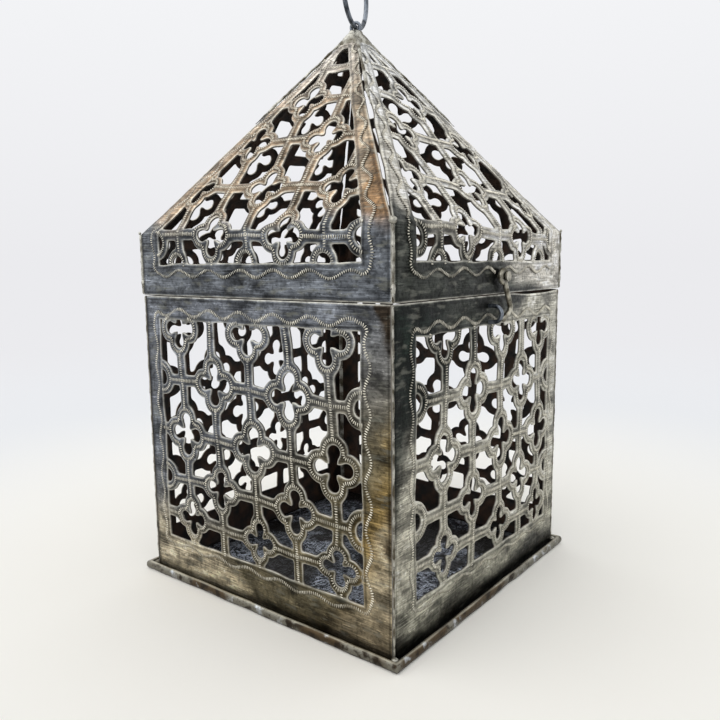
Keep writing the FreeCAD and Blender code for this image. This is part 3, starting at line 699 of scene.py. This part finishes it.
def solder_drop(name, centre, size, body, material, seed):
    """A small lump of solder, squashed and uneven."""

    def lump(ring, k):
        polar, turn = math.pi * ring / DROP_RINGS, 2 * math.pi * k / DROP_SIDES
        way = Vector((math.sin(polar) * math.cos(turn),
            math.sin(polar) * math.sin(turn), math.cos(polar)))
        bulge = 1 + 0.28 * noise.noise(way * 1.7 + Vector((seed, 0, 0)))
        return [c + s * w * bulge for c, s, w in zip(centre, size, way)]

    points = [lump(0, 0)]
    points += [lump(r, k) for r in range(1, DROP_RINGS) for k in range(DROP_SIDES)]
    points.append(lump(DROP_RINGS, 0))
    last = len(points) - 1
    faces = ring_faces(DROP_RINGS - 1, DROP_SIDES, 1)
    for k in range(DROP_SIDES):
        n = (k + 1) % DROP_SIDES
        faces.append([0, 1 + n, 1 + k])
        faces.append([last - DROP_SIDES + k, last - DROP_SIDES + n, last])
    faces = [face[::-1] for face in faces]
    make_piece(name, points, faces, body, material, SOLDER_CREASE)


def build_solder(material):
    """Solder on each corner of the body, the lid and the roof, with drops at their ends."""
    ridge = np.array((LID_HALF, LID_HALF, -ROOF_RISE))
    ridge /= np.linalg.norm(ridge)
    point = np.array((0, 0, APEX - 0.2))
    for number, (corner, x, y) in enumerate(CORNERS):
        near = corner == "front_left"
        seed = 300 + 20 * number

        def post(half, height):
            return np.array((x * half, y * half, height))

        def line(kind, start, end, radius, body, shift, fade=1):
            return solder_line(f"{kind}_solder_{corner}", start, end, radius, body, material,
                seed + shift, fade)

        def drop(kind, centre, size, body, shift):
            solder_drop(f"{kind}_{corner}", centre, size, body, material, seed + shift)

        edge, skirt = BODY_HALF - 0.3, LID_HALF - 0.6
        line("corner", post(edge, DATUM - 1.2), post(edge, BODY_TOP - 0.2), BODY_SOLDER, "body", 0)
        seam = line("lid", post(skirt, LID_FOOT + 0.2), post(skirt, EAVE), LID_SOLDER, "lid", 7)
        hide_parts(f"lid_seam_{corner}")
        way = ridge * (x, y, 1)
        start = point + way * RIDGE_START - np.array((0, 0, RIDGE_SINK))
        seam = line("ridge", start, start + way * RIDGE_LENGTH,
            NEAR_RIDGE_SOLDER if near else RIDGE_SOLDER, "lid", 11, RIDGE_FADE)
        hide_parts(f"ridge_seam_{corner}")
        drop("eave_solder", point + way * EAVE_DROP_PLACE,
            (NEAR_EAVE_DROP if near else EAVE_DROP,) * 3, "lid", 0)
        drop("foot_solder", post(BODY_HALF + 0.4, DATUM - 0.4), FOOT_DROP, "body", 5)
        drop("skirt_drop", post(LID_HALF - 0.7, LID_FOOT + 5.5), SKIRT_DROP, "lid", 9)


# The rolled rim, as distances in from the tray's edge and heights.
ROLL = ((1.1, 0), (0.35, 0.45), (0, 1.3), (0.02, 2.2), (0.12, 3), (0.45, 3.7),
    (1, RIM_TOP - 0.1), (1.55, RIM_TOP), (2.05, 3.85), (2.4, 3.3), (2.75, 2.5))
RIM_STEP = 2
RIM_SWAY, RIM_LIFT = (0.22, 26), (0.18, 17)
FLOOR_POINTS, FLOOR_LIFT, FLOOR_DENTS = 48, 0.25, (0.22, 42)


def rim_profile():
    """A foot under the panels, an upright roll and a dark channel between them."""
    foot = BODY_HALF - 3
    roll = [(TRAY_HALF - inward, height) for inward, height in ROLL]
    channel = [(BODY_HALF + 0.9, 2), (BODY_HALF + 0.15, 1.9)]
    return [(foot, 0)] + roll + channel + [(foot, 0.85)]


def square_sweep(profile):
    """Sweeps a closed (distance from the middle, height) profile round a square."""
    out, up = np.array(profile).T
    proud = np.maximum(0, (out - BODY_HALF) / (TRAY_HALF - BODY_HALF))
    count = int(2 * TRAY_HALF / RIM_STEP)
    rings = []
    for quarter in range(4):
        turn, seed = math.radians(90 * quarter), 400 + 10 * quarter
        for k in range(count):
            share = 2 * k / count - 1
            along = share * out
            free = proud * (1 - abs(share) ** 8)
            sway = free * uneven(along, 0 * along, seed, (RIM_SWAY,))
            lift = free * uneven(along, 0 * along, seed + 1, (RIM_LIFT,))
            reach = out + np.minimum(sway, 0)
            rings.append(np.stack((along * math.cos(turn) + reach * math.sin(turn),
                along * math.sin(turn) - reach * math.cos(turn), up + lift * (up > 0.2)), -1))
    points = np.concatenate(rings)
    faces = [[corner % len(points) for corner in (a, d, c, b)]
        for a, b, c, d in ring_faces(len(rings) + 1, len(out))]
    return points, faces


def build_base(rim_material, floor_material):
    points, faces = square_sweep(rim_profile())
    rim = make_piece("base_rim_rolled", points, faces, "body", rim_material,
        RIM_CREASE)
    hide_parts("base_tray")
    half, count = BODY_HALF - 2, FLOOR_POINTS
    line = np.linspace(-half, half, count)
    x, y = np.meshgrid(line, line, indexing="ij")
    held = 1 - np.exp(-(half - np.maximum(abs(x), abs(y))) / HELD)
    lift = held * uneven(x, y, 440, (FLOOR_DENTS,))
    top = np.stack((x, y, FLOOR_TOP + FLOOR_LIFT + lift), -1).reshape(-1, 3)
    low = top * (1, 1, 0)
    starts = [i * count + j for i in range(count - 1) for j in range(count - 1)]
    faces = [[a, a + count, a + count + 1, a + 1] for a in starts]
    make_piece("base_floor", np.concatenate((top, low)), thickened(faces, len(top)), "body",
        floor_material)


CAP_RINGS, CAP_SIDES = 18, 48
CAP_FOOT, CAP_TOP = APEX - 10.5, APEX - 0.7


def cap_point(t, turn):
    """A point of the solder cap, at the share t of its height and a turn round it."""
    height = CAP_FOOT + (CAP_TOP - CAP_FOOT) * t
    half = (APEX - height) * LID_HALF / ROOF_RISE - 0.9 + 1.9 * min(1, 3 * t)
    side = max(abs(math.cos(turn)), abs(math.sin(turn)))
    reach = min(half / side, 1.3 * half) * (1 - t) + half * (1 + 0.22 * t) * t
    way = Vector((2.2 * math.cos(turn), 2.2 * math.sin(turn), 0.75 * (height - CAP_FOOT)))
    lump = 0.62 * noise.noise(way) + 0.34 * noise.noise(2.4 * way)
    tip = min(1, 6 * (1 - t) + 0.35)
    reach = max(0.4, (reach + lump * (0.35 + 0.65 * t)) * tip)
    return reach * math.cos(turn), reach * math.sin(turn), height


def build_apex(material):
    """The sheets' tips, folded together and flooded with solder under the top eye."""
    points = [cap_point(r / (CAP_RINGS - 1), 2 * math.pi * k / CAP_SIDES)
        for r in range(CAP_RINGS) for k in range(CAP_SIDES)]
    piece = make_piece("apex_lump", points, closed_faces(CAP_RINGS, CAP_SIDES), "lid",
        material, BEAD_CREASE)
    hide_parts("apex_cap")


# ---- materials


class Nodes:
    """Short ways to add the nodes of a tree and join them."""

    def __init__(self, tree):
        self.tree = tree

    def add(self, kind, inputs=None, **settings):
        node = self.tree.nodes.new(kind)
        for key, value in settings.items():
            setattr(node, key, value)
        for key, value in (inputs or {}).items():
            self.feed(node.inputs[key], value)
        return node

    def feed(self, socket, value):
        if isinstance(value, bpy.types.NodeSocket):
            self.tree.links.new(value, socket)
        else:
            socket.default_value = value

    def math(self, operation, a, b=0):
        return self.add("ShaderNodeMath", {0: a, 1: b}, operation=operation).outputs[0]

    def vector(self, operation, *values, output=0):
        node = self.add("ShaderNodeVectorMath", dict(enumerate(values)), operation=operation)
        return node.outputs[output]

    def parts(self, vector):
        return self.add("ShaderNodeSeparateXYZ", {0: vector}).outputs

    def times(self, a, b):
        return self.math("MULTIPLY", a, b)

    def blend(self, a, share_a, b, share_b):
        return self.math("ADD", self.times(a, share_a), self.times(b, share_b))

    def ramp(self, value, low, high, start=0, end=1):
        inputs = {"Value": value, "From Min": low, "From Max": high, "To Min": start,
            "To Max": end}
        return self.add("ShaderNodeMapRange", inputs, interpolation_type="SMOOTHSTEP").outputs[0]

    def mix(self, share, a, b):
        return self.add("ShaderNodeMix", {0: share, 6: a, 7: b}, data_type="RGBA").outputs[2]

    def shader_mix(self, share, a, b):
        inputs = {0: share, 1: a.outputs[0], 2: b.outputs[0]}
        return self.add("ShaderNodeMixShader", inputs)


class Paint(Nodes):
    """A node material."""

    def __init__(self, name):
        self.material = bpy.data.materials.new(name)
        self.material.use_nodes = True
        super().__init__(self.material.node_tree)
        self.surface = self.tree.nodes["Principled BSDF"]

    def over(self, colour, *layers):
        """Shades laid over a colour, each as its value goes from low to high."""
        for shade, value, low, high, *amount in layers:
            colour = self.mix(self.ramp(value, low, high, 0, *amount), colour, shade)
        return colour

    def lay(self, colour, shade, mask, amount):
        """The shade laid over the colour where the mask is up."""
        return self.mix(self.times(mask, amount), colour, shade)

    def scale(self, colour, factor):
        """The colour made darker or lighter, short of white."""
        inputs = {0: colour, "Scale": factor}
        node = self.add("ShaderNodeVectorMath", inputs, operation="SCALE")
        return self.vector("MINIMUM", node.outputs[0], (0.9, 0.9, 0.9))

    def noise(self, vector, scale, detail=4, stretch=None):
        if stretch:
            vector = self.add("ShaderNodeMapping", {"Vector": vector, "Scale": stretch}).outputs[0]
        inputs = {"Vector": vector, "Scale": scale, "Detail": detail}
        return self.add("ShaderNodeTexNoise", inputs).outputs[0]

    def attribute(self, name, output=2):
        return self.add("ShaderNodeAttribute", attribute_name=name).outputs[output]

    def place(self):
        return self.add("ShaderNodeTexCoord").outputs["Object"]

    def bump(self, height, strength, distance, **below):
        inputs = {"Height": height, "Strength": strength, "Distance": distance, **below}
        return self.add("ShaderNodeBump", inputs).outputs[0]

    def finish(self, colour, rough, metal, **normal):
        inputs = {"Base Color": colour, "Roughness": rough, "Metallic": metal, **normal}
        for key, value in inputs.items():
            self.feed(self.surface.inputs[key], value)
        return self.material


def tone(red, green, blue):
    """A colour given in display values from 0 to 255."""
    shares = [value / 255 for value in (red, green, blue)]
    return (*(share / 12.92 if share <= 0.04045 else ((share + 0.055) / 1.055) ** 2.4
        for share in shares), 1)


PATCH_EDGE = 0.35


def layered(paint, place, cloud, finish):
    """A finish's base colour with each of its patches laid over the last."""
    u, v = paint.parts(place)[:2]
    colour, patches = finish
    for shade, slope, (start, end), amount in patches:
        level = paint.blend(u, slope[0], v, slope[1])
        ragged = paint.math("ADD", level, paint.times(cloud, PATCH_EDGE))
        mask = paint.ramp(ragged, start + PATCH_EDGE / 2, end + PATCH_EDGE / 2)
        colour = paint.lay(colour, shade, mask, amount)
    return colour


def stained(paint, place, colour):
    """Broad dark and light stains."""
    stain = paint.noise(place, 7, 8, (0.8, 1.5, 1))
    return paint.over(colour, (paint.scale(colour, 0.22), stain, 0.49, 0.37, 0.8),
        (paint.scale(colour, 2.1), stain, 0.52, 0.64, 0.65))


def grained(paint, place, colour, cloud, grain, tones):
    """Mottling, brushed lines and specks, in darker and lighter tones of the metal."""
    mottle, speck, brushed = grain
    darker, lighter = tones
    colour = paint.over(colour, (darker, mottle, 0.49, 0.34, 0.65),
        (lighter, mottle, 0.53, 0.68, 0.5))
    patchy = paint.ramp(cloud, 0.38, 0.6, 0.45, 1)
    light_lines = paint.times(paint.ramp(brushed, 0.51, 0.62), patchy)
    dark_lines = paint.times(paint.ramp(brushed, 0.48, 0.37), patchy)
    colour = paint.lay(colour, lighter, light_lines, 0.7)
    colour = paint.lay(colour, darker, dark_lines, 0.6)
    combed = paint.noise(place, 13, 6, (0.5, 3.4, 1))
    return paint.over(colour, (lighter, combed, 0.58, 0.7, 0.6),
        (darker, speck, 0.54, 0.66, 0.5), (lighter, speck, 0.45, 0.34, 0.4))


def scratched(paint, place, colour, mottle):
    """Long bright scratches and a thin grey dust."""
    bend = paint.noise(place, 7, 3, (0.6, 5, 1))
    off_line = paint.math("ABSOLUTE", paint.math("SUBTRACT", bend, 0.5))
    scratch = paint.times(paint.ramp(off_line, 0.009, 0.003), paint.ramp(mottle, 0.46, 0.56))
    colour = paint.lay(colour, paint.scale(colour, 3), scratch, 0.6)
    dust = paint.noise(place, 15, 8, (0.7, 2.2, 1))
    return paint.over(colour, (tone(120, 120, 110), dust, 0.52, 0.68, 0.45))


def edged(paint, colour, mottle, shade_and_dirt):
    """A painted highlight along the cut edges, and a band painted dark between them and the beads,
    as painted shade and dirt.
    """
    edge = paint.attribute("edge_mm")
    # Painted highlight: a bright line along each cut edge, made uneven by the mottling.
    highlight_share = paint.times(paint.ramp(edge, 0.8, 0.1), paint.ramp(mottle, 0.3, 0.6, 0.3, 1))
    colour = paint.lay(colour, tone(198, 195, 184), highlight_share, 0.7)
    # A band from 0.7 to 2.3 mm in from the cut edge painted darker: painted shade beside the
    # beads, with dirt.
    shade_and_grime = paint.times(paint.ramp(edge, 0.7, 1.3), paint.ramp(edge, 2.3, 1.5))
    return paint.lay(colour, shade_and_dirt, shade_and_grime, 0.6)


def sheet_paint(name, finish):
    """Tarnished sheet metal, with the inner faces painted near black as shade."""
    paint = Paint(name)
    place = paint.attribute("sheet_uv", 1)
    outside = paint.attribute("outside")
    cloud = paint.noise(place, 3.2, 6)
    mottle = paint.noise(place, 13, 8)
    speck = paint.noise(place, 62, 6)
    brushed = paint.noise(place, 19, 8, (0.42, 8, 1))
    colour = stained(paint, place, layered(paint, place, cloud, finish))
    tones = paint.scale(colour, 0.25), paint.scale(colour, 2)
    colour = grained(paint, place, colour, cloud, (mottle, speck, brushed), tones)
    colour = scratched(paint, place, colour, mottle)
    colour = edged(paint, colour, mottle, tones[0])
    # Painted shade: the inner faces are painted near black for the dark inside of the lantern.
    inside_shade = paint.mix(paint.ramp(mottle, 0.35, 0.7), tone(9, 7, 5), tone(62, 40, 25))
    rough = paint.math("ADD", paint.ramp(mottle, 0.25, 0.75, 0.5, 0.3),
        paint.ramp(speck, 0.4, 0.7, -0.04, 0.12))
    rough = paint.mix(outside, (0.62, 0.62, 0.62, 1), rough)
    fine = paint.bump(paint.blend(brushed, 0.6, speck, 0.4), 0.3, 0.0004)
    return paint.finish(paint.mix(outside, inside_shade, colour), rough,
        paint.ramp(outside, 0, 1, 0.3, 0.97), Normal=paint.bump(mottle, 0.35, 0.0012, Normal=fine))


def bead_paint(name, finish):
    """The same metal as the sheet, with crests painted bright, as wear and painted highlight, and
    feet painted dark, as dirt and painted shade.
    """
    paint = Paint(name)
    place = paint.attribute("sheet_uv", 1)
    mottle = paint.noise(place, 18, 6)
    colour = layered(paint, place, paint.noise(place, 3.2, 6), finish)
    # Bead feet painted near black: dirt and painted shade in the gaps between beads.
    foot_shade_and_dirt = paint.mix(0.85, colour, tone(20, 16, 12))
    # Bead crests painted near white: wear and a painted highlight.
    highlight_share = paint.ramp(mottle, 0.3, 0.65, 0.25, 0.75)
    crest = paint.mix(highlight_share, colour, tone(238, 232, 214))
    colour = paint.over(foot_shade_and_dirt, (crest, paint.attribute("crest"), 0.1, 0.8))
    return paint.finish(colour, paint.ramp(mottle, 0.3, 0.7, 0.46, 0.3), 0.8)


def solder_paint():
    paint = Paint("dull_solder")
    place = paint.place()
    mottle = paint.noise(place, 160, 8)
    speck = paint.noise(place, 900, 6)
    colour = paint.over(tone(84, 78, 64), (tone(178, 176, 166), mottle, 0.38, 0.62),
        (tone(44, 34, 22), speck, 0.56, 0.7, 0.8))
    return paint.finish(colour, paint.ramp(mottle, 0.3, 0.7, 0.55, 0.36), 0.8,
        Normal=paint.bump(speck, 0.35, 0.0004))


def wire_paint(name, dark, light, rust):
    paint = Paint(name)
    place = paint.place()
    mottle = paint.noise(place, 210, 8)
    speck = paint.noise(place, 1100, 6)
    colour = paint.over(dark, (light, mottle, 0.36, 0.62), (rust, speck, 0.6, 0.72, 0.6))
    return paint.finish(colour, paint.ramp(mottle, 0.3, 0.7, 0.5, 0.28), 0.9,
        Normal=paint.bump(paint.blend(mottle, 0.7, speck, 0.3), 0.35, 0.0004))


def rim_paint():
    """The rolled rim: zinc worn off in long brown, white and grey patches, a painted highlight
    along the roll's top, and painted shade along its foot and in the channel.
    """
    paint = Paint("rim_zinc")
    place = paint.place()
    cloud = paint.noise(place, 30, 6)
    mottle = paint.noise(place, 150, 8)
    speck = paint.noise(place, 800, 6)
    colour = paint.over(tone(68, 55, 37), (tone(112, 109, 99), cloud, 0.46, 0.54),
        (tone(176, 180, 184), mottle, 0.56, 0.68), (tone(36, 28, 18), mottle, 0.47, 0.36),
        (tone(52, 40, 26), speck, 0.55, 0.68, 0.8))
    height = paint.parts(place)[2]
    # Painted highlight along the top of the roll.
    colour = paint.lay(colour, tone(196, 190, 172), paint.ramp(height, 0.0036, 0.0041), 0.4)
    # Painted shade along the rim's foot, where it meets the floor.
    colour = paint.lay(colour, tone(28, 24, 18), paint.ramp(height, 0.0012, 0.0005), 0.8)
    far_x, far_y = paint.parts(paint.vector("ABSOLUTE", place))[:2]
    reach = paint.math("MAXIMUM", far_x, far_y)
    # Painted shade and painted dark reflection: the channel between the panels and the roll is
    # painted near black.
    channel = paint.ramp(reach, (TRAY_HALF - 2) * MM, (TRAY_HALF - 2.8) * MM)
    colour = paint.lay(colour, tone(12, 10, 7), channel, 0.92)
    return paint.finish(colour, paint.ramp(mottle, 0.3, 0.7, 0.52, 0.32), 0.8,
        Normal=paint.bump(paint.blend(mottle, 0.7, speck, 0.3), 0.5, 0.0006))


def spangle_paint():
    """Galvanised floor sheet: frosty zinc crystals among dull dark ones."""
    paint = Paint("zinc_spangle")
    place = paint.place()
    warped = paint.vector("ADD", place, paint.noise(place, 60, 4))
    doubled = paint.vector("ADD", place, warped)
    cells = paint.add("ShaderNodeTexVoronoi", {"Vector": doubled, "Scale": 46})
    shade, way = paint.parts(cells.outputs["Color"])[:2]
    frost = paint.noise(place, 260, 8, (1, 6, 1))
    crossed = paint.noise(place, 260, 8, (6, 1, 1))
    fern = paint.over(frost, (crossed, way, 0.45, 0.55))
    level = paint.times(paint.ramp(shade, 0.15, 0.9, 0.2, 1),
        paint.ramp(fern, 0.34, 0.64, 0.1, 1.25))
    colour = paint.over(tone(24, 27, 34), (tone(212, 220, 234), level, 0.1, 0.95),
        (tone(26, 21, 16), paint.noise(place, 26, 6), 0.46, 0.54, 0.93))
    return paint.finish(colour, paint.ramp(level, 0.3, 0.9, 0.5, 0.28), 0.85,
        Normal=paint.bump(fern, 0.35, 0.0004))


RUST = tone(96, 68, 36)
OLIVE = tone(90, 82, 60)
GOLD = tone(116, 97, 58)
BLUE_GREY = tone(94, 97, 102)
PALE = tone(166, 163, 150)
# A dark green painted on the front sheets as a reflection of the dark room.
DARK_REFLECTION_GREEN = tone(12, 19, 15)
TAN = tone(130, 113, 94)
SLATE = tone(80, 83, 87)
UMBER = tone(40, 29, 14)
STONE = tone(174, 163, 140)
FROST = tone(206, 208, 208)
FOOT_DARK = tone(14, 12, 8)

# A finish is a base colour and the patches over it: colour, the direction it grows in,
# (start, end) along that direction, and amount.
LEFT_BODY = (BLUE_GREY, (
    (OLIVE, (0.75, -1), (-1.05, -0.2), 0.9),
    (STONE, (-0.5, -1), (-0.1, 0.12), 0.75),
    (GOLD, (1, -0.25), (0.42, 0.56), 0.8),
    (STONE, (1, -0.6), (0.38, 0.54), 0.7),
    (UMBER, (1, 0.1), (0.8, 0.84), 0.9),
    (UMBER, (0.35, -1), (-0.04, 0.16), 0.6),
))
FRONT_BODY = (PALE, (
    # The two dark green patches at the upper left are a painted dark reflection.
    (DARK_REFLECTION_GREEN, (-1, 0.5), (0.98, 1.13), 0.96),
    (DARK_REFLECTION_GREEN, (-0.45, 1), (1.16, 1.26), 0.96),
    (tone(124, 126, 113), (0, -1), (-0.5, 0), 0.45),
    # The front panel made near black along its foot.
    (FOOT_DARK, (0.05, -1), (-0.13, -0.03), 0.95),
))
PLAIN_BODY = (tone(112, 112, 106), (
    (OLIVE, (0.6, -1), (-0.7, 0.1), 0.7),
    (BLUE_GREY, (-1, 0.6), (0.6, 1.1), 0.6),
    (UMBER, (0.1, -1), (-0.12, 0), 0.8),
))
LEFT_LID = (TAN, (
    (FROST, (0, 1), (0.66, 1.2), 0.5),
    (tone(146, 134, 114), (1, 0.62), (0.58, 0.68), 0.4),
    (RUST, (1, 0.35), (0.56, 0.64), 0.8),
    (SLATE, (0, -1), (-0.1, 0.02), 1),
))
FRONT_LID = (tone(190, 185, 174), (
    # Painted dark reflection on the skirt's left part.
    (DARK_REFLECTION_GREEN, (-0.32, -1), (0.07, 0.2), 0.97),
    (FROST, (0, 1), (0.5, 1.1), 0.7),
))
PLAIN_LID = (tone(150, 142, 126), (
    (SLATE, (0, -1), (-0.05, 0.08), 0.9),
    (RUST, (1, 0.15), (0.52, 0.7), 0.5),
))
DARK_WIRES = ("hanging_ring", "apex_eye", "latch_staple")
LEAF_BEVEL = 0.18


def dress_nodes(solder):
    """Materials for the frame's own wires, hinges and seams."""
    wire = wire_paint("worn_wire", tone(78, 74, 62), tone(172, 168, 154), tone(58, 44, 28))
    dark_wire = wire_paint("dark_wire", tone(50, 54, 60), tone(120, 126, 134), tone(60, 50, 42))
    hinge = wire_paint("hinge_metal", tone(82, 78, 70), tone(158, 154, 144), RUST)
    for name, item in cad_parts.items():
        if item.hide_render:
            continue
        if name.startswith("hinge_"):
            paint = hinge
        elif "seam" in name:
            paint = solder
        else:
            paint = dark_wire if name in DARK_WIRES else wire
        if not item.material_slots:
            item.data.materials.append(paint)
        for slot in item.material_slots:
            slot.material = paint
        if name.startswith("hinge_") and "leaf" in name:
            bevel = item.modifiers.new("soft_edges", "BEVEL")
            bevel.width = LEAF_BEVEL * MM
            bevel.segments = 2
            bevel.limit_method = "ANGLE"


# ---- stage, light and camera

# Metres: half the floor's size, where its colour settles and where it meets the backdrop.
FLOOR_HALF, FLOOR_SETTLES, FLOOR_MELTS = 30, (0.12, 0.5), (0.3, 1.2)
HORIZON = tone(235, 235, 238)
ZENITH = tone(246, 247, 249)
ZENITH_RISE = 0.45
# Soft boxes seen in the metal: direction, inner and outer edge as cosines, and power.
SOFT_BOXES = (
    ((-0.95, 0.15, 0.35), 0.94, 0.55, 1.5),
    ((-0.35, -0.55, 0.85), 0.93, 0.6, 0.8),
    ((0.3, 0.2, 1), 0.92, 0.5, 1),
    ((0.75, -0.75, 0.1), 0.95, 0.62, 1.2),
    ((-0.1, 1, 0.35), 0.9, 0.5, 0.8),
)
ROOM_LEVEL = 0.24
DIFFUSE_LEVEL = 0.92
BOX_COLOUR, FILL_COLOUR = (0.98, 0.99, 1, 1), (0.95, 0.98, 1, 1)
SUN_POWER, SUN_SPREAD, SUN_COLOUR = 0.4, 60, (1, 0.96, 0.9)
SUN_FROM = (-0.52, 0.3, 0.8)
CAMERA_PLACE = (-285.3, -225.1, 159)
CAMERA_YAW, CAMERA_PITCH, CAMERA_ROLL = 38.21, 8.11, -0.63
CAMERA_LENS = 35.04


def build_stage():
    """A floor that is lit near the lantern and runs into the backdrop far away."""
    paint = Paint("pale_floor")
    far = paint.vector("LENGTH", paint.place(), output="Value")
    colour = paint.over(tone(247, 243, 236), (tone(228, 228, 230), far, *FLOOR_SETTLES))
    paint.finish(colour, 0.9, 0)
    haze = paint.add("ShaderNodeEmission", {"Color": HORIZON, "Strength": 1})
    both = paint.shader_mix(paint.ramp(far, *FLOOR_MELTS), paint.surface, haze)
    paint.feed(paint.tree.nodes["Material Output"].inputs[0], both.outputs[0])
    mesh = bpy.data.meshes.new("floor")
    corners = rectangle(-FLOOR_HALF, FLOOR_HALF, -FLOOR_HALF, FLOOR_HALF)
    mesh.from_pydata([(x, y, 0) for x, y in corners], [], [(0, 1, 2, 3)])
    mesh.materials.append(paint.material)
    new_object("floor", mesh)


def build_world():
    """A pale backdrop for the camera, soft boxes for the metal and an even fill."""
    world = bpy.data.worlds.new("studio")
    bpy.context.scene.world = world
    world.use_nodes = True
    world.node_tree.nodes.clear()
    nodes = Nodes(world.node_tree)

    def background(colour, strength):
        return nodes.add("ShaderNodeBackground", {"Color": colour, "Strength": strength})

    way = nodes.add("ShaderNodeTexCoord").outputs["Generated"]
    level = ROOM_LEVEL
    for direction, tight, wide, power in SOFT_BOXES:
        facing = nodes.vector("DOT_PRODUCT", way, Vector(direction).normalized(), output="Value")
        glow = nodes.times(nodes.ramp(facing, wide, tight), power)
        level = nodes.math("ADD", level, glow)
    rays = nodes.add("ShaderNodeLightPath").outputs
    lit = nodes.shader_mix(rays["Is Diffuse Ray"], background(BOX_COLOUR, level),
        background(FILL_COLOUR, DIFFUSE_LEVEL))
    height = nodes.parts(way)[2]
    rise = nodes.add("ShaderNodeMapRange", {"Value": height, "From Min": 0,
        "From Max": ZENITH_RISE})
    backdrop = background(nodes.mix(rise.outputs[0], HORIZON, ZENITH), 1)
    both = nodes.shader_mix(rays["Is Camera Ray"], lit, backdrop)
    nodes.add("ShaderNodeOutputWorld", {0: both.outputs[0]})


def build_light():
    sun = bpy.data.lights.new("soft_key", "SUN")
    sun.energy = SUN_POWER
    sun.angle = math.radians(SUN_SPREAD)
    sun.color = SUN_COLOUR
    lamp = new_object("soft_key", sun)
    lamp.rotation_euler = Vector(SUN_FROM).to_track_quat("Z", "Y").to_euler()


def build_camera():
    camera = bpy.data.cameras.new("camera")
    camera.lens = CAMERA_LENS
    camera.clip_start = 0.01
    view = new_object("camera", camera)
    view.matrix_world = Matrix.Translation(Vector(CAMERA_PLACE) * MM)
    for angle, axis in ((CAMERA_YAW - 90, "Z"), (90 - CAMERA_PITCH, "X"), (CAMERA_ROLL, "Z")):
        view.matrix_world = view.matrix_world @ Matrix.Rotation(math.radians(angle), 4, axis)
    bpy.context.scene.camera = view
    bpy.context.scene.view_settings.view_transform = "Standard"


def build_all():
    solder = solder_paint()
    for sheet, finish in all_sheets():
        sheet_piece(sheet, sheet_paint(f"{sheet.node}_metal", finish))
        bead_piece(sheet, bead_paint(f"{sheet.node}_chasing", finish))
    build_solder(solder)
    build_base(rim_paint(), spangle_paint())
    build_apex(solder)
    dress_nodes(solder)
    build_stage()
    build_world()
    build_light()
    build_camera()


build_all()
